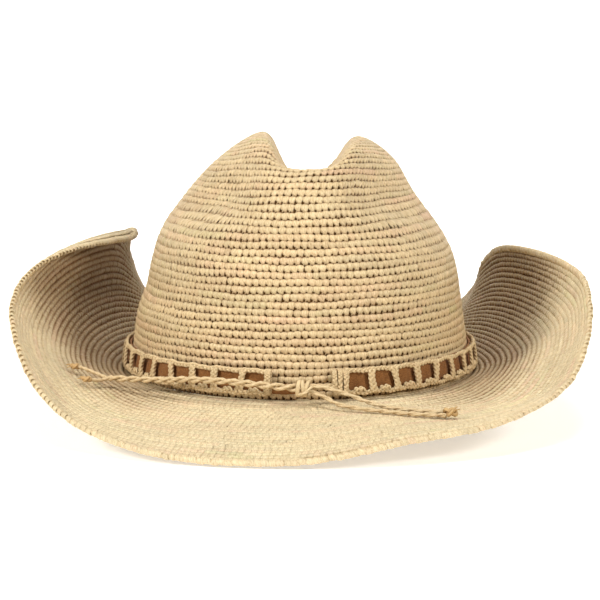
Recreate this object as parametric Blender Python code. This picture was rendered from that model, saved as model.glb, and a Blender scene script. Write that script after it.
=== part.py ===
"""Cowboy hat crocheted from raffia: creased crown, wired and curled brim, inner sweatband with a sizing
cord, and a loose hatband (openwork lattice over a suede strip) held by a knotted cord with hanging ends.

Frame: metres, +Z up, hat front towards -Y, wearer's left towards +X.  The origin is the centre of the
head opening, at the height of the break row where the crown meets the brim.
All dimensions below are millimetres.
"""
import math

import bmesh
import bpy
import numpy as np

MM = 0.001
GAP = 0.35                       # clearance left between two pieces that touch in the real hat

# ---- crown -------------------------------------------------------------------------------------
CROWN_A, CROWN_B = 87.0, 105.0   # outer half width and half length at the break row
WALL = 2.4                       # thickness of the crocheted fabric
WALL_LEAN = 0.122                # the wall leans in this much per millimetre of height
CROWN_COLS, CROWN_ROWS = 90, 24
# crown profile from the break row to the middle of the top, on the sides and fore-and-aft
SIDE_R = (87, 84.8, 82.7, 80.6, 78, 74.3, 69.2, 63.2, 55.3, 47.8, 37.5, 25, 12, 0)
SIDE_Z = (0, 18, 33, 48, 59, 67, 75, 83, 94, 104.7, 114.4, 121.3, 124.5, 125.5)
FORE_R = (105, 102.8, 100.6, 98.4, 96.3, 94.3, 92.4, 90, 86, 79.5, 67.5, 48, 25, 0)
FORE_Z = (0, 18, 33, 48.5, 60, 68.5, 77.5, 86.5, 97, 107.5, 116, 122, 124.8, 125.5)
GROOVE_FLOOR = 98.5              # height of the top crease at the middle
GROOVE_LEFT, GROOVE_RIGHT = (14, 20), (7, 23)    # where its walls start and end, from the middle
GROOVE_RISE = 27.0
RIDGE_LEAN = 6.0                 # the ridges lean this far to +X
FLAT_SIDE = 3.2                  # the crown's -X flank is this much flatter than the other
DENT_Y, DENT_Z = -56.0, 94.0     # centre of the two finger dents
DENT_LEFT, DENT_RIGHT = 9.0, 7.0    # their depths
SMOOTHING = 8                    # rounds of smoothing that give the crease the roundness of fabric

# ---- brim: (azimuth, edge x, y, z, slope at the crown, slope at the edge, lip roll), degrees and mm ----
BRIM = (
    (-90, 0, -172, -15, -12, -18, 0),
    (-72, 48, -166, -7, -12, -12, 0),
    (-55, 92, -142, -2, -10, 8, 0),
    (-40, 124, -109, 10, -4, 40, 0),
    (-28, 137, -78, 29, 6, 65, 0),
    (-16, 141, -41, 45, 12, 80, 0),
    (-2, 139, 0, 51, 16, 85, 0),
    (12, 126, 38, 54, 18, 90, 10),
    (26, 110, 74, 52, 20, 90, 20),
    (38, 102, 100, 44, 20, 85, 0),
    (49, 99, 122, 28, 14, 60, 0),
    (59, 88, 140, 14, 4, 30, 0),
    (72, 56, 161, 2, -6, 0, 0),
    (90, 0, 172, -6, -10, -14, 0),
    (106, -58, 161, 2, -6, 0, 0),
    (119, -88, 140, 18, 4, 30, 0),
    (128, -94, 121, 39, 16, 60, 5),
    (138, -96, 100, 53, 22, 85, 60),
    (149, -100, 80, 55, 20, 92, 140),
    (161, -110, 53, 55, 18, 92, 145),
    (174, -122, 18, 53, 16, 92, 115),
    (187, -132, -18, 49, 14, 92, 65),
    (200, -138, -55, 42, 10, 85, 15),
    (212, -134, -86, 28, 4, 70, 0),
    (222, -121, -112, 8, -4, 45, 0),
    (234, -97, -136, -7, -12, 10, 0),
    (250, -56, -161, -15, -14, -16, 0),
)
LIP_RADIUS = 6.0                 # radius of the rolled-in left lip
BRIM_COLS, BRIM_ROWS = 72, 9
RING_COLS = 90                   # stations round the edging and the wire
EDGING = 3.6                     # width of the edging row beyond the last brim row
EDGING_THICK = 3.6
EDGING_OVER = 0.6                # reach of the edging past the brim's own edge
WIRE_R = 0.6

# ---- sweatband and sizing cord ------------------------------------------------------------------
SWEAT_HEIGHT = 30.0
SWEAT_THICK = 0.7
SWEAT_LOW, HEM_TOP = 1.2, 6.2    # lower edge of the band, upper edge of its turned-up hem
SIZING_CORD_R = 0.65
CORD_PLAY = 0.25                 # clearance round the cord inside the hem

# ---- hatband ------------------------------------------------------------------------------------
BAND_LOW, BAND_HIGH = 2.5, 14.7
SUEDE_IN, SUEDE_OUT = 0.5, 1.6   # distances outside the crown wall
LATTICE_IN, LATTICE_OUT = 1.95, 4.2
WINDOWS = 40                     # openings of the lattice round the crown
RAIL, RUNG_SHARE = 1.9, 0.36     # height of the rails; share of the pitch taken by a rung
GAP_LEFT, GAP_RIGHT = -13.5, 15.0    # x of the lattice's two ends at the front
END_LEFT, END_RIGHT = 2.6, 7.0   # widths of the wound blocks at those ends

# ---- tie cord -----------------------------------------------------------------------------------
STRAND_R = 0.85
KNOT = (1.4, -112.9, 7.0)
KNOT_R, KNOT_HIGH = 3.2, 3.7
BRIDGE_R = 1.0
TWIST_R, TWIST_PITCH = 1.12, 18.0    # the two strands of the left end turn round each other


# ---- helpers ------------------------------------------------------------------------------------
def clear_scene():
    for ob in list(bpy.data.objects):
        bpy.data.objects.remove(ob, do_unlink=True)


def material(name, rgb, roughness):
    mat = bpy.data.materials.new(name)
    mat.use_nodes = True
    shader = mat.node_tree.nodes["Principled BSDF"]
    shader.inputs["Base Color"].default_value = (*rgb, 1.0)
    shader.inputs["Roughness"].default_value = roughness
    return mat


def add_object(name, verts, faces, rgb, roughness, origin=(0, 0, 0)):
    """One closed named object; verts in millimetres, origin in millimetres."""
    mesh = bpy.data.meshes.new(name)
    shifted = (np.asarray(verts, float) - np.asarray(origin, float)) * MM
    mesh.from_pydata([tuple(v) for v in shifted], [], faces)
    bm = bmesh.new()
    bm.from_mesh(mesh)
    bmesh.ops.recalc_face_normals(bm, faces=bm.faces)
    if bm.calc_volume(signed=True) < 0:
        bmesh.ops.reverse_faces(bm, faces=bm.faces)
    bm.to_mesh(mesh)
    bm.free()
    mesh.materials.append(material(name, rgb, roughness))
    ob = bpy.data.objects.new(name, mesh)
    bpy.context.scene.collection.objects.link(ob)
    ob.location = [c * MM for c in origin]
    mesh.shade_smooth()
    mesh.set_sharp_from_angle(angle=math.radians(40))
    return ob


def smoothstep(low, high, x):
    t = np.clip((x - low) / (high - low), 0, 1)
    return t * t * (3 - 2 * t)


def spline(values, t):
    """Smooth curve through evenly spaced values for t from 0 to 1."""
    v = np.asarray(values, float)
    n = len(v) - 1
    x = np.clip(t, 0, 1) * n
    i = np.minimum(x.astype(int), n - 1)
    f = x - i
    b, c = v[i], v[i + 1]
    a = np.where(i > 0, v[np.maximum(i - 1, 0)], 2 * b - c)
    d = np.where(i < n - 1, v[np.minimum(i + 2, n)], 2 * c - b)
    return b + 0.5 * f * (c - a + f * (2 * a - 5 * b + 4 * c - d + f * (3 * b - a - 3 * c + d)))


def round_table(column, angle):
    """Smooth periodic value of one column of the brim table at an azimuth in radians."""
    az = np.array([row[0] for row in BRIM], float)
    val = np.array([row[column] for row in BRIM], float)
    a = np.concatenate([az[-2:] - 360, az, az[:3] + 360])
    v = np.concatenate([val[-2:], val, val[:3]])
    d = (math.degrees(angle) - az[0]) % 360 + az[0]
    i = int(np.clip(np.searchsorted(a, d, side="right") - 1, 1, len(a) - 3))
    h = a[i + 1] - a[i]
    t = (d - a[i]) / h
    m0 = (v[i + 1] - v[i - 1]) / (a[i + 1] - a[i - 1]) * h
    m1 = (v[i + 2] - v[i]) / (a[i + 2] - a[i]) * h
    return ((2 * t**3 - 3 * t**2 + 1) * v[i] + (t**3 - 2 * t**2 + t) * m0
            + (3 * t**2 - 2 * t**3) * v[i + 1] + (t**3 - t**2) * m1)


# ---- surfaces -----------------------------------------------------------------------------------
def crown_point(angle, u):
    """Outer face of the creased crown: azimuth, and u from 0 at the break row to 1 at the top."""
    angle, u = np.broadcast_arrays(np.asarray(angle, float), np.asarray(u, float))
    fore = np.sin(angle)**2
    x = spline(SIDE_R, u) * np.cos(angle)
    y = spline(FORE_R, u) * np.sin(angle)
    z = spline(SIDE_Z, u) * (1 - fore) + spline(FORE_Z, u) * fore
    lean = RIDGE_LEAN * smoothstep(88, 120, z)
    floor = GROOVE_FLOOR + 9.5 * smoothstep(-30, -88, y) - 7 * smoothstep(-10, 80, y)
    front = smoothstep(-50, -88, y)
    left = smoothstep(GROOVE_LEFT[0] - 12 * front, GROOVE_LEFT[1] + 30 * front, -x)
    right = smoothstep(GROOVE_RIGHT[0] - 5 * front, GROOVE_RIGHT[1] + 26 * front, x)
    cut = floor + GROOVE_RISE * np.where(x < 0, left, right) + 1.5 * np.maximum(np.abs(x) - 22, 0)
    soft = 8.0
    h = np.clip(0.5 + 0.5 * (cut - z) / soft, 0, 1)
    z = cut * (1 - h) + z * h - soft * h * (1 - h)
    z = z - 3.0 * smoothstep(5, 30, x) * smoothstep(91, 118, z)
    for side, depth in ((-1, DENT_LEFT), (1, DENT_RIGHT)):
        dent = np.exp(-((y - DENT_Y) / 30)**2 - ((z - DENT_Z) / 16)**2) * smoothstep(8, 38, side * x)
        x = x - side * depth * dent
        y = y + 0.5 * depth * dent
        z = z - 0.3 * depth * dent
    x = x + FLAT_SIDE * smoothstep(29, 46, z) * (1 - smoothstep(56, 80, z)) * smoothstep(20, 65, -x)
    return np.stack([x + lean, y, z], -1)


def crown_grid(rows, cols):
    """Rows by columns of the crown, its crease rounded the way fabric rounds it, without the middle."""
    fine_rows, fine_cols = 60, 180
    u = 0.985 * np.linspace(0, 1, fine_rows)**0.9
    p = crown_point(azimuths(fine_cols)[None, :], u[:, None])
    weight = smoothstep(76, 98, p[..., 2:])
    weight[0] = 0
    for _ in range(SMOOTHING):
        mean = (np.roll(p, 1, 1) + np.roll(p, -1, 1)) / 4
        mean[1:-1] += (p[:-2] + p[2:]) / 4
        mean[-1] += (p[-2] + p[-1].mean(0)) / 4
        mean[0] = p[0]
        p = p + 0.7 * weight * (mean - p)
    at = (fine_rows - 1) * np.linspace(0, 1, rows)**0.75      # closer rows over the creased top
    low = np.minimum(at.astype(int), fine_rows - 2)
    part = (at - low)[:, None, None]
    p = p[low] * (1 - part) + p[low + 1] * part
    return p[:, ::fine_cols // cols]


def oval_normal(angle):
    n = np.array([CROWN_B * math.cos(angle), CROWN_A * math.sin(angle), 0.0])
    return n / np.linalg.norm(n)


def brim_profile(angle):
    """Points of the brim's upper face at one azimuth, from the break row to the edge."""
    edge = np.array([round_table(k, angle) for k in (1, 2, 3)])
    slope_in, slope_out, roll = (math.radians(round_table(k, angle)) for k in (4, 5, 6))
    start = np.array([CROWN_A * math.cos(angle), CROWN_B * math.sin(angle), 0.0])
    n, up = oval_normal(angle), np.array([0.0, 0.0, 1.0])
    reach = 0.36 * np.linalg.norm(edge - start)
    c1 = start + reach * (math.cos(slope_in) * n + math.sin(slope_in) * up)
    c2 = edge - reach * (math.cos(slope_out) * n + math.sin(slope_out) * up)
    t = np.linspace(0, 1, 40)[:, None]
    pts = (1 - t)**3 * start + 3 * (1 - t)**2 * t * c1 + 3 * (1 - t) * t**2 * c2 + t**3 * edge
    if roll > 0.02:
        a = slope_out + np.linspace(0, 1, 12)[1:, None] * roll
        lip = edge + LIP_RADIUS * ((np.sin(a) - math.sin(slope_out)) * n
                                   - (np.cos(a) - math.cos(slope_out)) * up)
        pts = np.concatenate([pts, lip])
    return pts


def resample(points, count, trim=0.0):
    """Evenly spaced points along a line, leaving out the last trim millimetres."""
    run = np.concatenate([[0], np.cumsum(np.linalg.norm(np.diff(points, axis=0), axis=1))])
    at = np.linspace(0, run[-1] - trim, count)
    return np.stack([np.interp(at, run, points[:, k]) for k in range(3)], -1)


def azimuths(count):
    return np.arange(count) * 2 * math.pi / count


def brim_grid(rows, cols, trim=0.0):
    return np.stack([resample(brim_profile(a), rows, trim) for a in azimuths(cols)], 1)


def normals(grid):
    """Unit normals of a grid of rows by wrapped columns."""
    along = np.roll(grid, -1, 1) - np.roll(grid, 1, 1)
    across = np.gradient(grid, axis=0)
    n = np.cross(along, across)
    return n / np.maximum(np.linalg.norm(n, axis=2, keepdims=True), 1e-9)


# ---- solids -------------------------------------------------------------------------------------
def sheet_solid(outer, inner, wrap=True, solid_cell=None):
    """Closed solid between two matching grids.  Cells for which solid_cell is false are left open."""
    rows, cols = outer.shape[:2]
    verts = np.concatenate([outer.reshape(-1, 3), inner.reshape(-1, 3)])
    last = cols if wrap else cols - 1

    def at(i, j, side):
        return side * rows * cols + i * cols + j % cols

    def filled(i, j):
        if i < 0 or i >= rows - 1 or (not wrap and (j < 0 or j >= last)):
            return False
        return solid_cell is None or solid_cell(i, j % last)

    faces = []
    for i in range(rows - 1):
        for j in range(last):
            if not filled(i, j):
                continue
            faces.append((at(i, j, 0), at(i, j + 1, 0), at(i + 1, j + 1, 0), at(i + 1, j, 0)))
            faces.append((at(i, j, 1), at(i + 1, j, 1), at(i + 1, j + 1, 1), at(i, j + 1, 1)))
            edges = ((i - 1, j, (i, j), (i, j + 1)), (i + 1, j, (i + 1, j + 1), (i + 1, j)),
                     (i, j - 1, (i + 1, j), (i, j)), (i, j + 1, (i, j + 1), (i + 1, j + 1)))
            for ni, nj, a, b in edges:
                if not filled(ni, nj):
                    faces.append((at(*a, 0), at(*a, 1), at(*b, 1), at(*b, 0)))
    used = sorted({k for face in faces for k in face})
    index = {k: n for n, k in enumerate(used)}
    return verts[used], [tuple(index[k] for k in face) for face in faces]


def swept_ring(path, section):
    """Closed loop whose section is given as offsets (across, up) from frames (point, across, up)."""
    count = len(section)
    verts = [p + s[0] * across + s[1] * up for p, across, up in path for s in section]
    rings = len(path)
    faces = []
    for i in range(rings):
        for k in range(count):
            a, b = i * count + k, i * count + (k + 1) % count
            c, d = ((i + 1) % rings) * count + (k + 1) % count, ((i + 1) % rings) * count + k
            faces.append((a, b, c, d))
    return np.array(verts), faces


def tube(points, radius, sides=6, closed=False):
    """Round rod along a line of points."""
    p = np.asarray(points, float)
    n = len(p)
    tangent = np.roll(p, -1, 0) - np.roll(p, 1, 0) if closed else np.gradient(p, axis=0)
    tangent /= np.linalg.norm(tangent, axis=1)[:, None]
    side = np.cross(tangent[0], (0.0, 0.0, 1.0))
    verts = []
    for k in range(n):
        side = side - tangent[k] * side.dot(tangent[k])
        side /= np.linalg.norm(side)
        other = np.cross(tangent[k], side)
        for s in range(sides):
            a = 2 * math.pi * s / sides
            verts.append(p[k] + radius * (math.cos(a) * side + math.sin(a) * other))
    faces = []
    for k in range(n if closed else n - 1):
        for s in range(sides):
            s2, k2 = (s + 1) % sides, (k + 1) % n
            faces.append((k * sides + s, k * sides + s2, k2 * sides + s2, k2 * sides + s))
    if not closed:
        faces.append(tuple(range(sides))[::-1])
        faces.append(tuple((n - 1) * sides + s for s in range(sides)))
    return np.array(verts), faces


def blob(centre, radii, rings=6, sides=8):
    """Closed ellipsoid."""
    verts = [np.array(centre) + (0, 0, radii[2])]
    for i in range(1, rings):
        a = math.pi * i / rings
        for s in range(sides):
            b = 2 * math.pi * s / sides
            verts.append(np.array(centre) + (radii[0] * math.sin(a) * math.cos(b),
                                             radii[1] * math.sin(a) * math.sin(b), radii[2] * math.cos(a)))
    verts.append(np.array(centre) - (0, 0, radii[2]))
    end = len(verts) - 1
    faces = []
    for s in range(sides):
        s2 = (s + 1) % sides
        faces.append((0, 1 + s, 1 + s2))
        faces.append((end, 1 + (rings - 2) * sides + s2, 1 + (rings - 2) * sides + s))
        for i in range(rings - 2):
            a = 1 + i * sides
            faces.append((a + s, a + sides + s, a + sides + s2, a + s2))
    return verts, faces


# ---- pieces of the hat itself -------------------------------------------------------------------
RAFFIA = (0.80, 0.66, 0.42)
RAFFIA_EDGE = (0.78, 0.63, 0.39)
RAFFIA_KNOT = (0.72, 0.50, 0.26)
SUEDE = (0.36, 0.19, 0.08)
COTTON = (0.82, 0.74, 0.60)
COTTON_CORD = (0.86, 0.80, 0.68)
STEEL = (0.45, 0.45, 0.47)


def build_crown():
    a = azimuths(CROWN_COLS)
    outer = crown_grid(CROWN_ROWS, CROWN_COLS)
    n = normals(outer)
    n[0] = [oval_normal(v) for v in a]
    inner = outer - WALL * n
    inner[0, :, 2] = outer[0, :, 2]
    outer[0, :, 2] += GAP
    inner[0, :, 2] += GAP
    verts, faces = sheet_solid(outer, inner)
    rows, cols = CROWN_ROWS, CROWN_COLS
    top = outer[-1].mean(0)
    under = inner[-1].mean(0)
    verts = np.concatenate([verts, [top, under]])
    first = len(verts) - 2
    faces = [f for f in faces if not lies_on_rim(f, rows, cols)]
    for j in range(cols):
        j2 = (j + 1) % cols
        faces.append(((rows - 1) * cols + j, (rows - 1) * cols + j2, first))
        faces.append((rows * cols + (rows - 1) * cols + j2, rows * cols + (rows - 1) * cols + j, first + 1))
    add_object("crown", verts, faces, RAFFIA, 0.8)


def lies_on_rim(face, rows, cols):
    """True for the wall faces that would close the last row between the two grids."""
    return all(k % (rows * cols) >= (rows - 1) * cols for k in face)


def build_brim():
    """Brim from the crown's inner face to the last plain row, its thickness on the underside."""
    top = brim_grid(BRIM_ROWS, BRIM_COLS, trim=EDGING + GAP)
    a = azimuths(BRIM_COLS)
    inner_ring = np.array([[(CROWN_A - WALL) * math.cos(v), (CROWN_B - WALL) * math.sin(v), 0] for v in a])
    upper = np.concatenate([inner_ring[None], top])
    up = np.concatenate([np.tile([0.0, 0.0, 1.0], (1, BRIM_COLS, 1)), -normals(top)])
    up[1] += up[0]
    up[1] /= np.linalg.norm(up[1], axis=1)[:, None]
    verts, faces = sheet_solid(upper, upper - WALL * up)
    add_object("brim", verts, faces, RAFFIA, 0.8)


def edge_frames(cols):
    """Point on the edge, direction out of the brim, and upper-face normal, all round the edge."""
    a = azimuths(cols)
    fine = [resample(brim_profile(v), 60) for v in a]
    grid = np.stack([f[-4:] for f in fine], 1)
    n = normals(grid)[-1]
    n = n if n[:, 2].mean() > 0 else -n
    out = grid[-1] - grid[-3]
    out /= np.linalg.norm(out, axis=1)[:, None]
    n -= out * np.sum(n * out, axis=1)[:, None]
    n /= np.linalg.norm(n, axis=1)[:, None]
    return [(grid[-1, k], out[k], n[k]) for k in range(cols)]


def build_edging():
    """Edging row: a C-section worked over the wire, open towards the brim's last row."""
    frames = edge_frames(RING_COLS)
    half, mid = EDGING_THICK / 2, -WALL / 2
    slot, bottom, corner = WIRE_R + 0.2, -1.0, 0.85
    section = [(-EDGING, mid - half), (EDGING_OVER - corner, mid - half), (EDGING_OVER, mid - half + corner),
               (EDGING_OVER, mid + half - corner), (EDGING_OVER - corner, mid + half), (-EDGING, mid + half),
               (-EDGING, mid + slot), (bottom, mid + slot), (bottom, mid - slot), (-EDGING, mid - slot)]
    verts, faces = swept_ring(frames, section)
    add_object("brim_edging", verts, faces, RAFFIA_EDGE, 0.8)
    angles = azimuths(5)
    centre = bottom - 0.25 - WIRE_R
    wire = [(centre + WIRE_R * math.cos(v), mid + WIRE_R * math.sin(v)) for v in angles]
    verts, faces = swept_ring(frames, wire)
    add_object("brim_wire", verts, faces, STEEL, 0.4)


def oval_frames(cols, depth=WALL):
    """Frames on the crown's inner face: point, inward direction, up."""
    frames = []
    for v in azimuths(cols):
        n = oval_normal(v)
        point = np.array([CROWN_A * math.cos(v), CROWN_B * math.sin(v), 0.0]) - depth * n
        frames.append((point, -n, np.array([0.0, 0.0, 1.0])))
    return frames


def build_sweatband():
    """Fabric band whose lower hem turns up against the crown and holds the sizing cord."""
    t, low, top = SWEAT_THICK, SWEAT_LOW, SWEAT_HEIGHT
    hem = GAP + 0.1
    leaf = GAP + t + 2 * (SIZING_CORD_R + CORD_PLAY)
    lean = 0.8 * WALL_LEAN * top
    section = [(hem, low), (leaf + t, low), (leaf + t + lean, top), (leaf + lean, top),
               (leaf, low + t), (hem + t, low + t), (hem + t + 0.4, HEM_TOP), (hem + 0.6, HEM_TOP)]
    verts, faces = swept_ring(oval_frames(60), section)
    add_object("sweatband", verts, faces, COTTON, 0.9)
    offset = hem + t + CORD_PLAY + SIZING_CORD_R
    rise = low + t + CORD_PLAY + SIZING_CORD_R
    ring = [p + offset * inward + rise * up for p, inward, up in oval_frames(61)]
    back = 15                    # the cord's two ends meet at the back of the head
    line = ring[back + 1:] + ring[:back]
    verts, faces = tube(line, SIZING_CORD_R, 5)
    add_object("sizing_cord", verts, faces, COTTON_CORD, 0.8)


# ---- pieces of the hatband ----------------------------------------------------------------------
def band_point(angle, out, z):
    """A point a given distance outside the crown wall at height z above the break row."""
    n = oval_normal(angle)
    shrink = WALL_LEAN * z
    return np.array([(CROWN_A - shrink) * math.cos(angle), (CROWN_B - shrink) * math.sin(angle), z]) + out * n


def front_angle(x, out):
    """Azimuth at the front where a ring the given distance outside the crown has this x."""
    return -math.pi / 2 + math.asin(x / (CROWN_A - 1.0 + out))


def band_angles(x_right, x_left, out, count):
    """Azimuths that run from the right end of a band, round the back, to its left end."""
    start, stop = front_angle(x_right, out), front_angle(x_left, out) + 2 * math.pi
    return np.linspace(start, stop, count)


def band_grid(angles, heights, out):
    return np.array([[band_point(a, out, z) for a in angles] for z in heights])


def build_lattice():
    """Openwork band: two rails joined by rungs, in one crocheted piece."""
    per = 3
    cols = WINDOWS * per + 2
    pitch = np.linspace(0, 1, WINDOWS + 1)
    marks = [0.0]
    for k in range(WINDOWS):
        a, b = pitch[k], pitch[k + 1]
        rung = (b - a) * RUNG_SHARE / 2
        marks += [a + rung, (a + b) / 2, b - rung]
    marks += [1.0]
    angles = band_angles(GAP_RIGHT + END_RIGHT + 0.6, GAP_LEFT - END_LEFT - 0.6, LATTICE_OUT, 2)
    angles = angles[0] + np.array(marks) * (angles[1] - angles[0])
    heights = [BAND_LOW, BAND_LOW + RAIL, BAND_HIGH - RAIL, BAND_HIGH]

    def solid(i, j):
        return i != 1 or j % per == 0

    outer = band_grid(angles, heights, LATTICE_OUT)
    inner = band_grid(angles, heights, LATTICE_IN)
    assert len(angles) == cols
    verts, faces = sheet_solid(outer, inner, wrap=False, solid_cell=solid)
    add_object("band_lattice", verts, faces, RAFFIA_EDGE, 0.8)


def build_suede():
    angles = band_angles(GAP_RIGHT - 1.0, -2.0, SUEDE_OUT, 64)
    heights = [BAND_LOW + 0.6, BAND_HIGH - 0.6]
    verts, faces = sheet_solid(band_grid(angles, heights, SUEDE_OUT),
                               band_grid(angles, heights, SUEDE_IN), wrap=False)
    add_object("suede_strip", verts, faces, SUEDE, 0.95)


def end_wrap(name, x_low, x_high):
    """Short wound block that closes one end of the lattice."""
    angles = np.linspace(front_angle(x_low, 4.0), front_angle(x_high, 4.0), 5)
    heights = [BAND_LOW + 0.3, BAND_LOW + 2.4, BAND_HIGH - 2.4, BAND_HIGH - 0.3]
    swell = [3.9, 4.9, 4.9, 3.9]
    outer = np.array([[band_point(a, s, z) for a in angles] for z, s in zip(heights, swell)])
    inner = band_grid(angles, heights, LATTICE_IN)
    verts, faces = sheet_solid(outer, inner, wrap=False)
    add_object(name, verts, faces, RAFFIA_EDGE, 0.8)


def bridge(name, points):
    verts, faces = tube(resample(np.array(points, float), 12), BRIDGE_R, 8)
    add_object(name, verts, faces, RAFFIA_EDGE, 0.8)


def brim_height(x, y, cache={}):
    """Height of the brim's upper face under a point in front of the crown."""
    if not cache:
        cache["grid"] = brim_grid(30, 240).reshape(-1, 3)
    grid = cache["grid"]
    near = np.argsort((grid[:, 0] - x)**2 + (grid[:, 1] - y)**2)[:4]
    return float(grid[near, 2].max())


def smooth_line(points, count):
    """Catmull curve through control points, evenly resampled."""
    p = np.array(points, float)
    t = np.linspace(0, 1, 12 * len(p))
    return resample(np.stack([spline(p[:, k], t) for k in range(3)], -1), count)


def rest_on_brim(line, radius):
    """Lifts the points of a line that would sink into the brim."""
    out = line.copy()
    for p in out:
        if math.hypot(p[0] / CROWN_A, p[1] / CROWN_B) > 1.0:
            p[2] = max(p[2], brim_height(p[0], p[1]) + radius + 0.6)
    return out


def twisted(line, radius, pitch, phase):
    """Offsets a line onto one ply of a two-ply twist."""
    tangent = np.gradient(line, axis=0)
    tangent /= np.linalg.norm(tangent, axis=1)[:, None]
    up = np.array([0.0, 0.0, 1.0])
    side = np.cross(tangent, up)
    side /= np.linalg.norm(side, axis=1)[:, None]
    run = np.concatenate([[0], np.cumsum(np.linalg.norm(np.diff(line, axis=0), axis=1))])
    a = 2 * math.pi * run / pitch + phase
    return line + radius * (np.cos(a)[:, None] * side + np.sin(a)[:, None] * np.cross(side, tangent))


def build_ties():
    """Hanging cord ends: two strands twisted together on the left, two lying side by side on the right."""
    kx, ky, kz = KNOT
    left = smooth_line([(kx - 5.9, ky - 0.6, kz + 0.3), (-18, -112.2, 8.6), (-36, -105.2, 9.2),
                        (-52, -95.6, 8.4), (-66, -86, 6.6), (-80, -77.5, 5.6), (-91, -71.8, 5.2)], 36)
    left = rest_on_brim(left, STRAND_R + 1.1)
    ends = {"a": [(-96, -69.5, 6.2), (-101, -67.8, 8.0), (-105, -66.8, 9.8)],
            "b": [(-94.5, -74.0, 4.8), (-96.5, -76.0, 4.8), (-98.4, -77.4, 5.4)]}
    knots = {"a": (-108.6, -66.2, 0), "b": (-101.9, -78.6, 0)}
    for tag, phase in (("a", math.pi), ("b", 0.0)):
        ply = twisted(left, TWIST_R, TWIST_PITCH, phase)
        tail = smooth_line([ply[-1], *ends[tag]], 7)[1:]
        line = np.concatenate([ply, rest_on_brim(tail, STRAND_R)])
        verts, faces = tube(line, STRAND_R, 5)
        add_object(f"tie_strand_left_{tag}", verts, faces, RAFFIA_EDGE, 0.8, origin=KNOT)
        x, y, _ = knots[tag]
        centre = (x, y, brim_height(x, y) + 3.3)
        verts, faces = blob(centre, (2.7, 2.1, 2.1))
        add_object(f"tie_knot_left_{tag}", verts, faces, RAFFIA_KNOT, 0.8, origin=KNOT)
    right = {"a": [(kx + 4.6, ky - 0.8, kz - 1.6), (11.5, -115.6, 3.4), (18, -118.6, 1.0), (28, -121.4, -0.6),
                   (40, -124.4, -1.6), (54, -129.2, -1.6), (63.5, -131.6, -1.2)],
             "b": [(kx + 4.6, ky - 0.4, kz + 1.3), (13.5, -114.2, 7.2), (22.6, -115.0, 4.8), (31, -117.2, 2.2),
                   (41, -121.2, 0.4), (54.6, -126.4, 0.2), (64.4, -128.9, 0.2)]}
    for tag, points in right.items():
        line = rest_on_brim(smooth_line(points, 26), STRAND_R)
        verts, faces = tube(line, STRAND_R, 5)
        add_object(f"tie_strand_right_{tag}", verts, faces, RAFFIA_EDGE, 0.8, origin=KNOT)
    centre = (68.4, -131.2, brim_height(68.4, -131.2) + 3.6)
    verts, faces = blob(centre, (3.2, 2.6, 2.4))
    add_object("tie_knot_right", verts, faces, RAFFIA_KNOT, 0.8, origin=KNOT)


def build_hatband():
    build_lattice()
    build_suede()
    end_wrap("lattice_end_left", GAP_LEFT - END_LEFT, GAP_LEFT)
    end_wrap("lattice_end_right", GAP_RIGHT, GAP_RIGHT + END_RIGHT)
    kx, ky, kz = KNOT
    bridge("cord_bridge_left", [(GAP_LEFT + 0.6, -107.6, kz + 0.6), (-7.5, -109.6, kz + 0.4),
                                (kx - KNOT_R - 0.5, ky + 1.6, kz)])
    bridge("cord_bridge_right", [(GAP_RIGHT - 0.6, -107.4, kz + 0.4), (10.0, -109.4, kz + 0.2),
                                 (kx + KNOT_R + 0.5, ky + 1.6, kz)])
    verts, faces = blob(KNOT, (KNOT_R, KNOT_R, KNOT_HIGH))
    add_object("tie_knot", verts, faces, RAFFIA_EDGE, 0.8, origin=KNOT)


def main():
    clear_scene()
    build_crown()
    build_brim()
    build_edging()
    build_sweatband()
    build_hatband()
    build_ties()


main()
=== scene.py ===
"""Looks of the crocheted raffia cowboy hat.

Every stitch is a strand of raffia of its own.  The stitches are laid one after another along a spiral, as the
hat is crocheted: from the break row up the crown to the middle of its top, and from the break row out to the
brim's edge.  Lengths are millimetres until a mesh is made.
"""
import math

import bpy
import numpy as np
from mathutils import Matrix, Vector


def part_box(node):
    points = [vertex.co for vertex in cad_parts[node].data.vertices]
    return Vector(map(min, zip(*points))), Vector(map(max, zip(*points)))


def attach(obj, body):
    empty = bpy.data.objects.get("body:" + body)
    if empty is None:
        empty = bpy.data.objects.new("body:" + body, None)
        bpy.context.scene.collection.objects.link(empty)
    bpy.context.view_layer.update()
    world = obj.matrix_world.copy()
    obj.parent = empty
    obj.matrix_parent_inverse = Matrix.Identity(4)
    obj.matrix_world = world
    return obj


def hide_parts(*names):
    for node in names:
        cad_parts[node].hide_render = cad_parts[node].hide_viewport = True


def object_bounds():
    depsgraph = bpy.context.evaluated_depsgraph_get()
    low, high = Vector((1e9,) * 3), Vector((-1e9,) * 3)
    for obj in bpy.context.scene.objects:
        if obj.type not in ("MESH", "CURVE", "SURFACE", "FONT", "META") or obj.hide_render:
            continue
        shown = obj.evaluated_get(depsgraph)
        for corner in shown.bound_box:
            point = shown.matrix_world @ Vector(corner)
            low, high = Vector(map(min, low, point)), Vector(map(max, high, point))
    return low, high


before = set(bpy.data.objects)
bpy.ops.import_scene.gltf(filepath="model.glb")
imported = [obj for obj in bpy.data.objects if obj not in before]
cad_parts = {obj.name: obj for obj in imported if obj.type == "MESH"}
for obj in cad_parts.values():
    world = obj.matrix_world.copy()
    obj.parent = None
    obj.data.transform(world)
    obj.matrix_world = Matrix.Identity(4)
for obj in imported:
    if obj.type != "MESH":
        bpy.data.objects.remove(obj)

CAD_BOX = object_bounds()
MM = 0.001
TURN = 2 * math.pi
UP = np.array([0.0, 0.0, 1.0])

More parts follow.
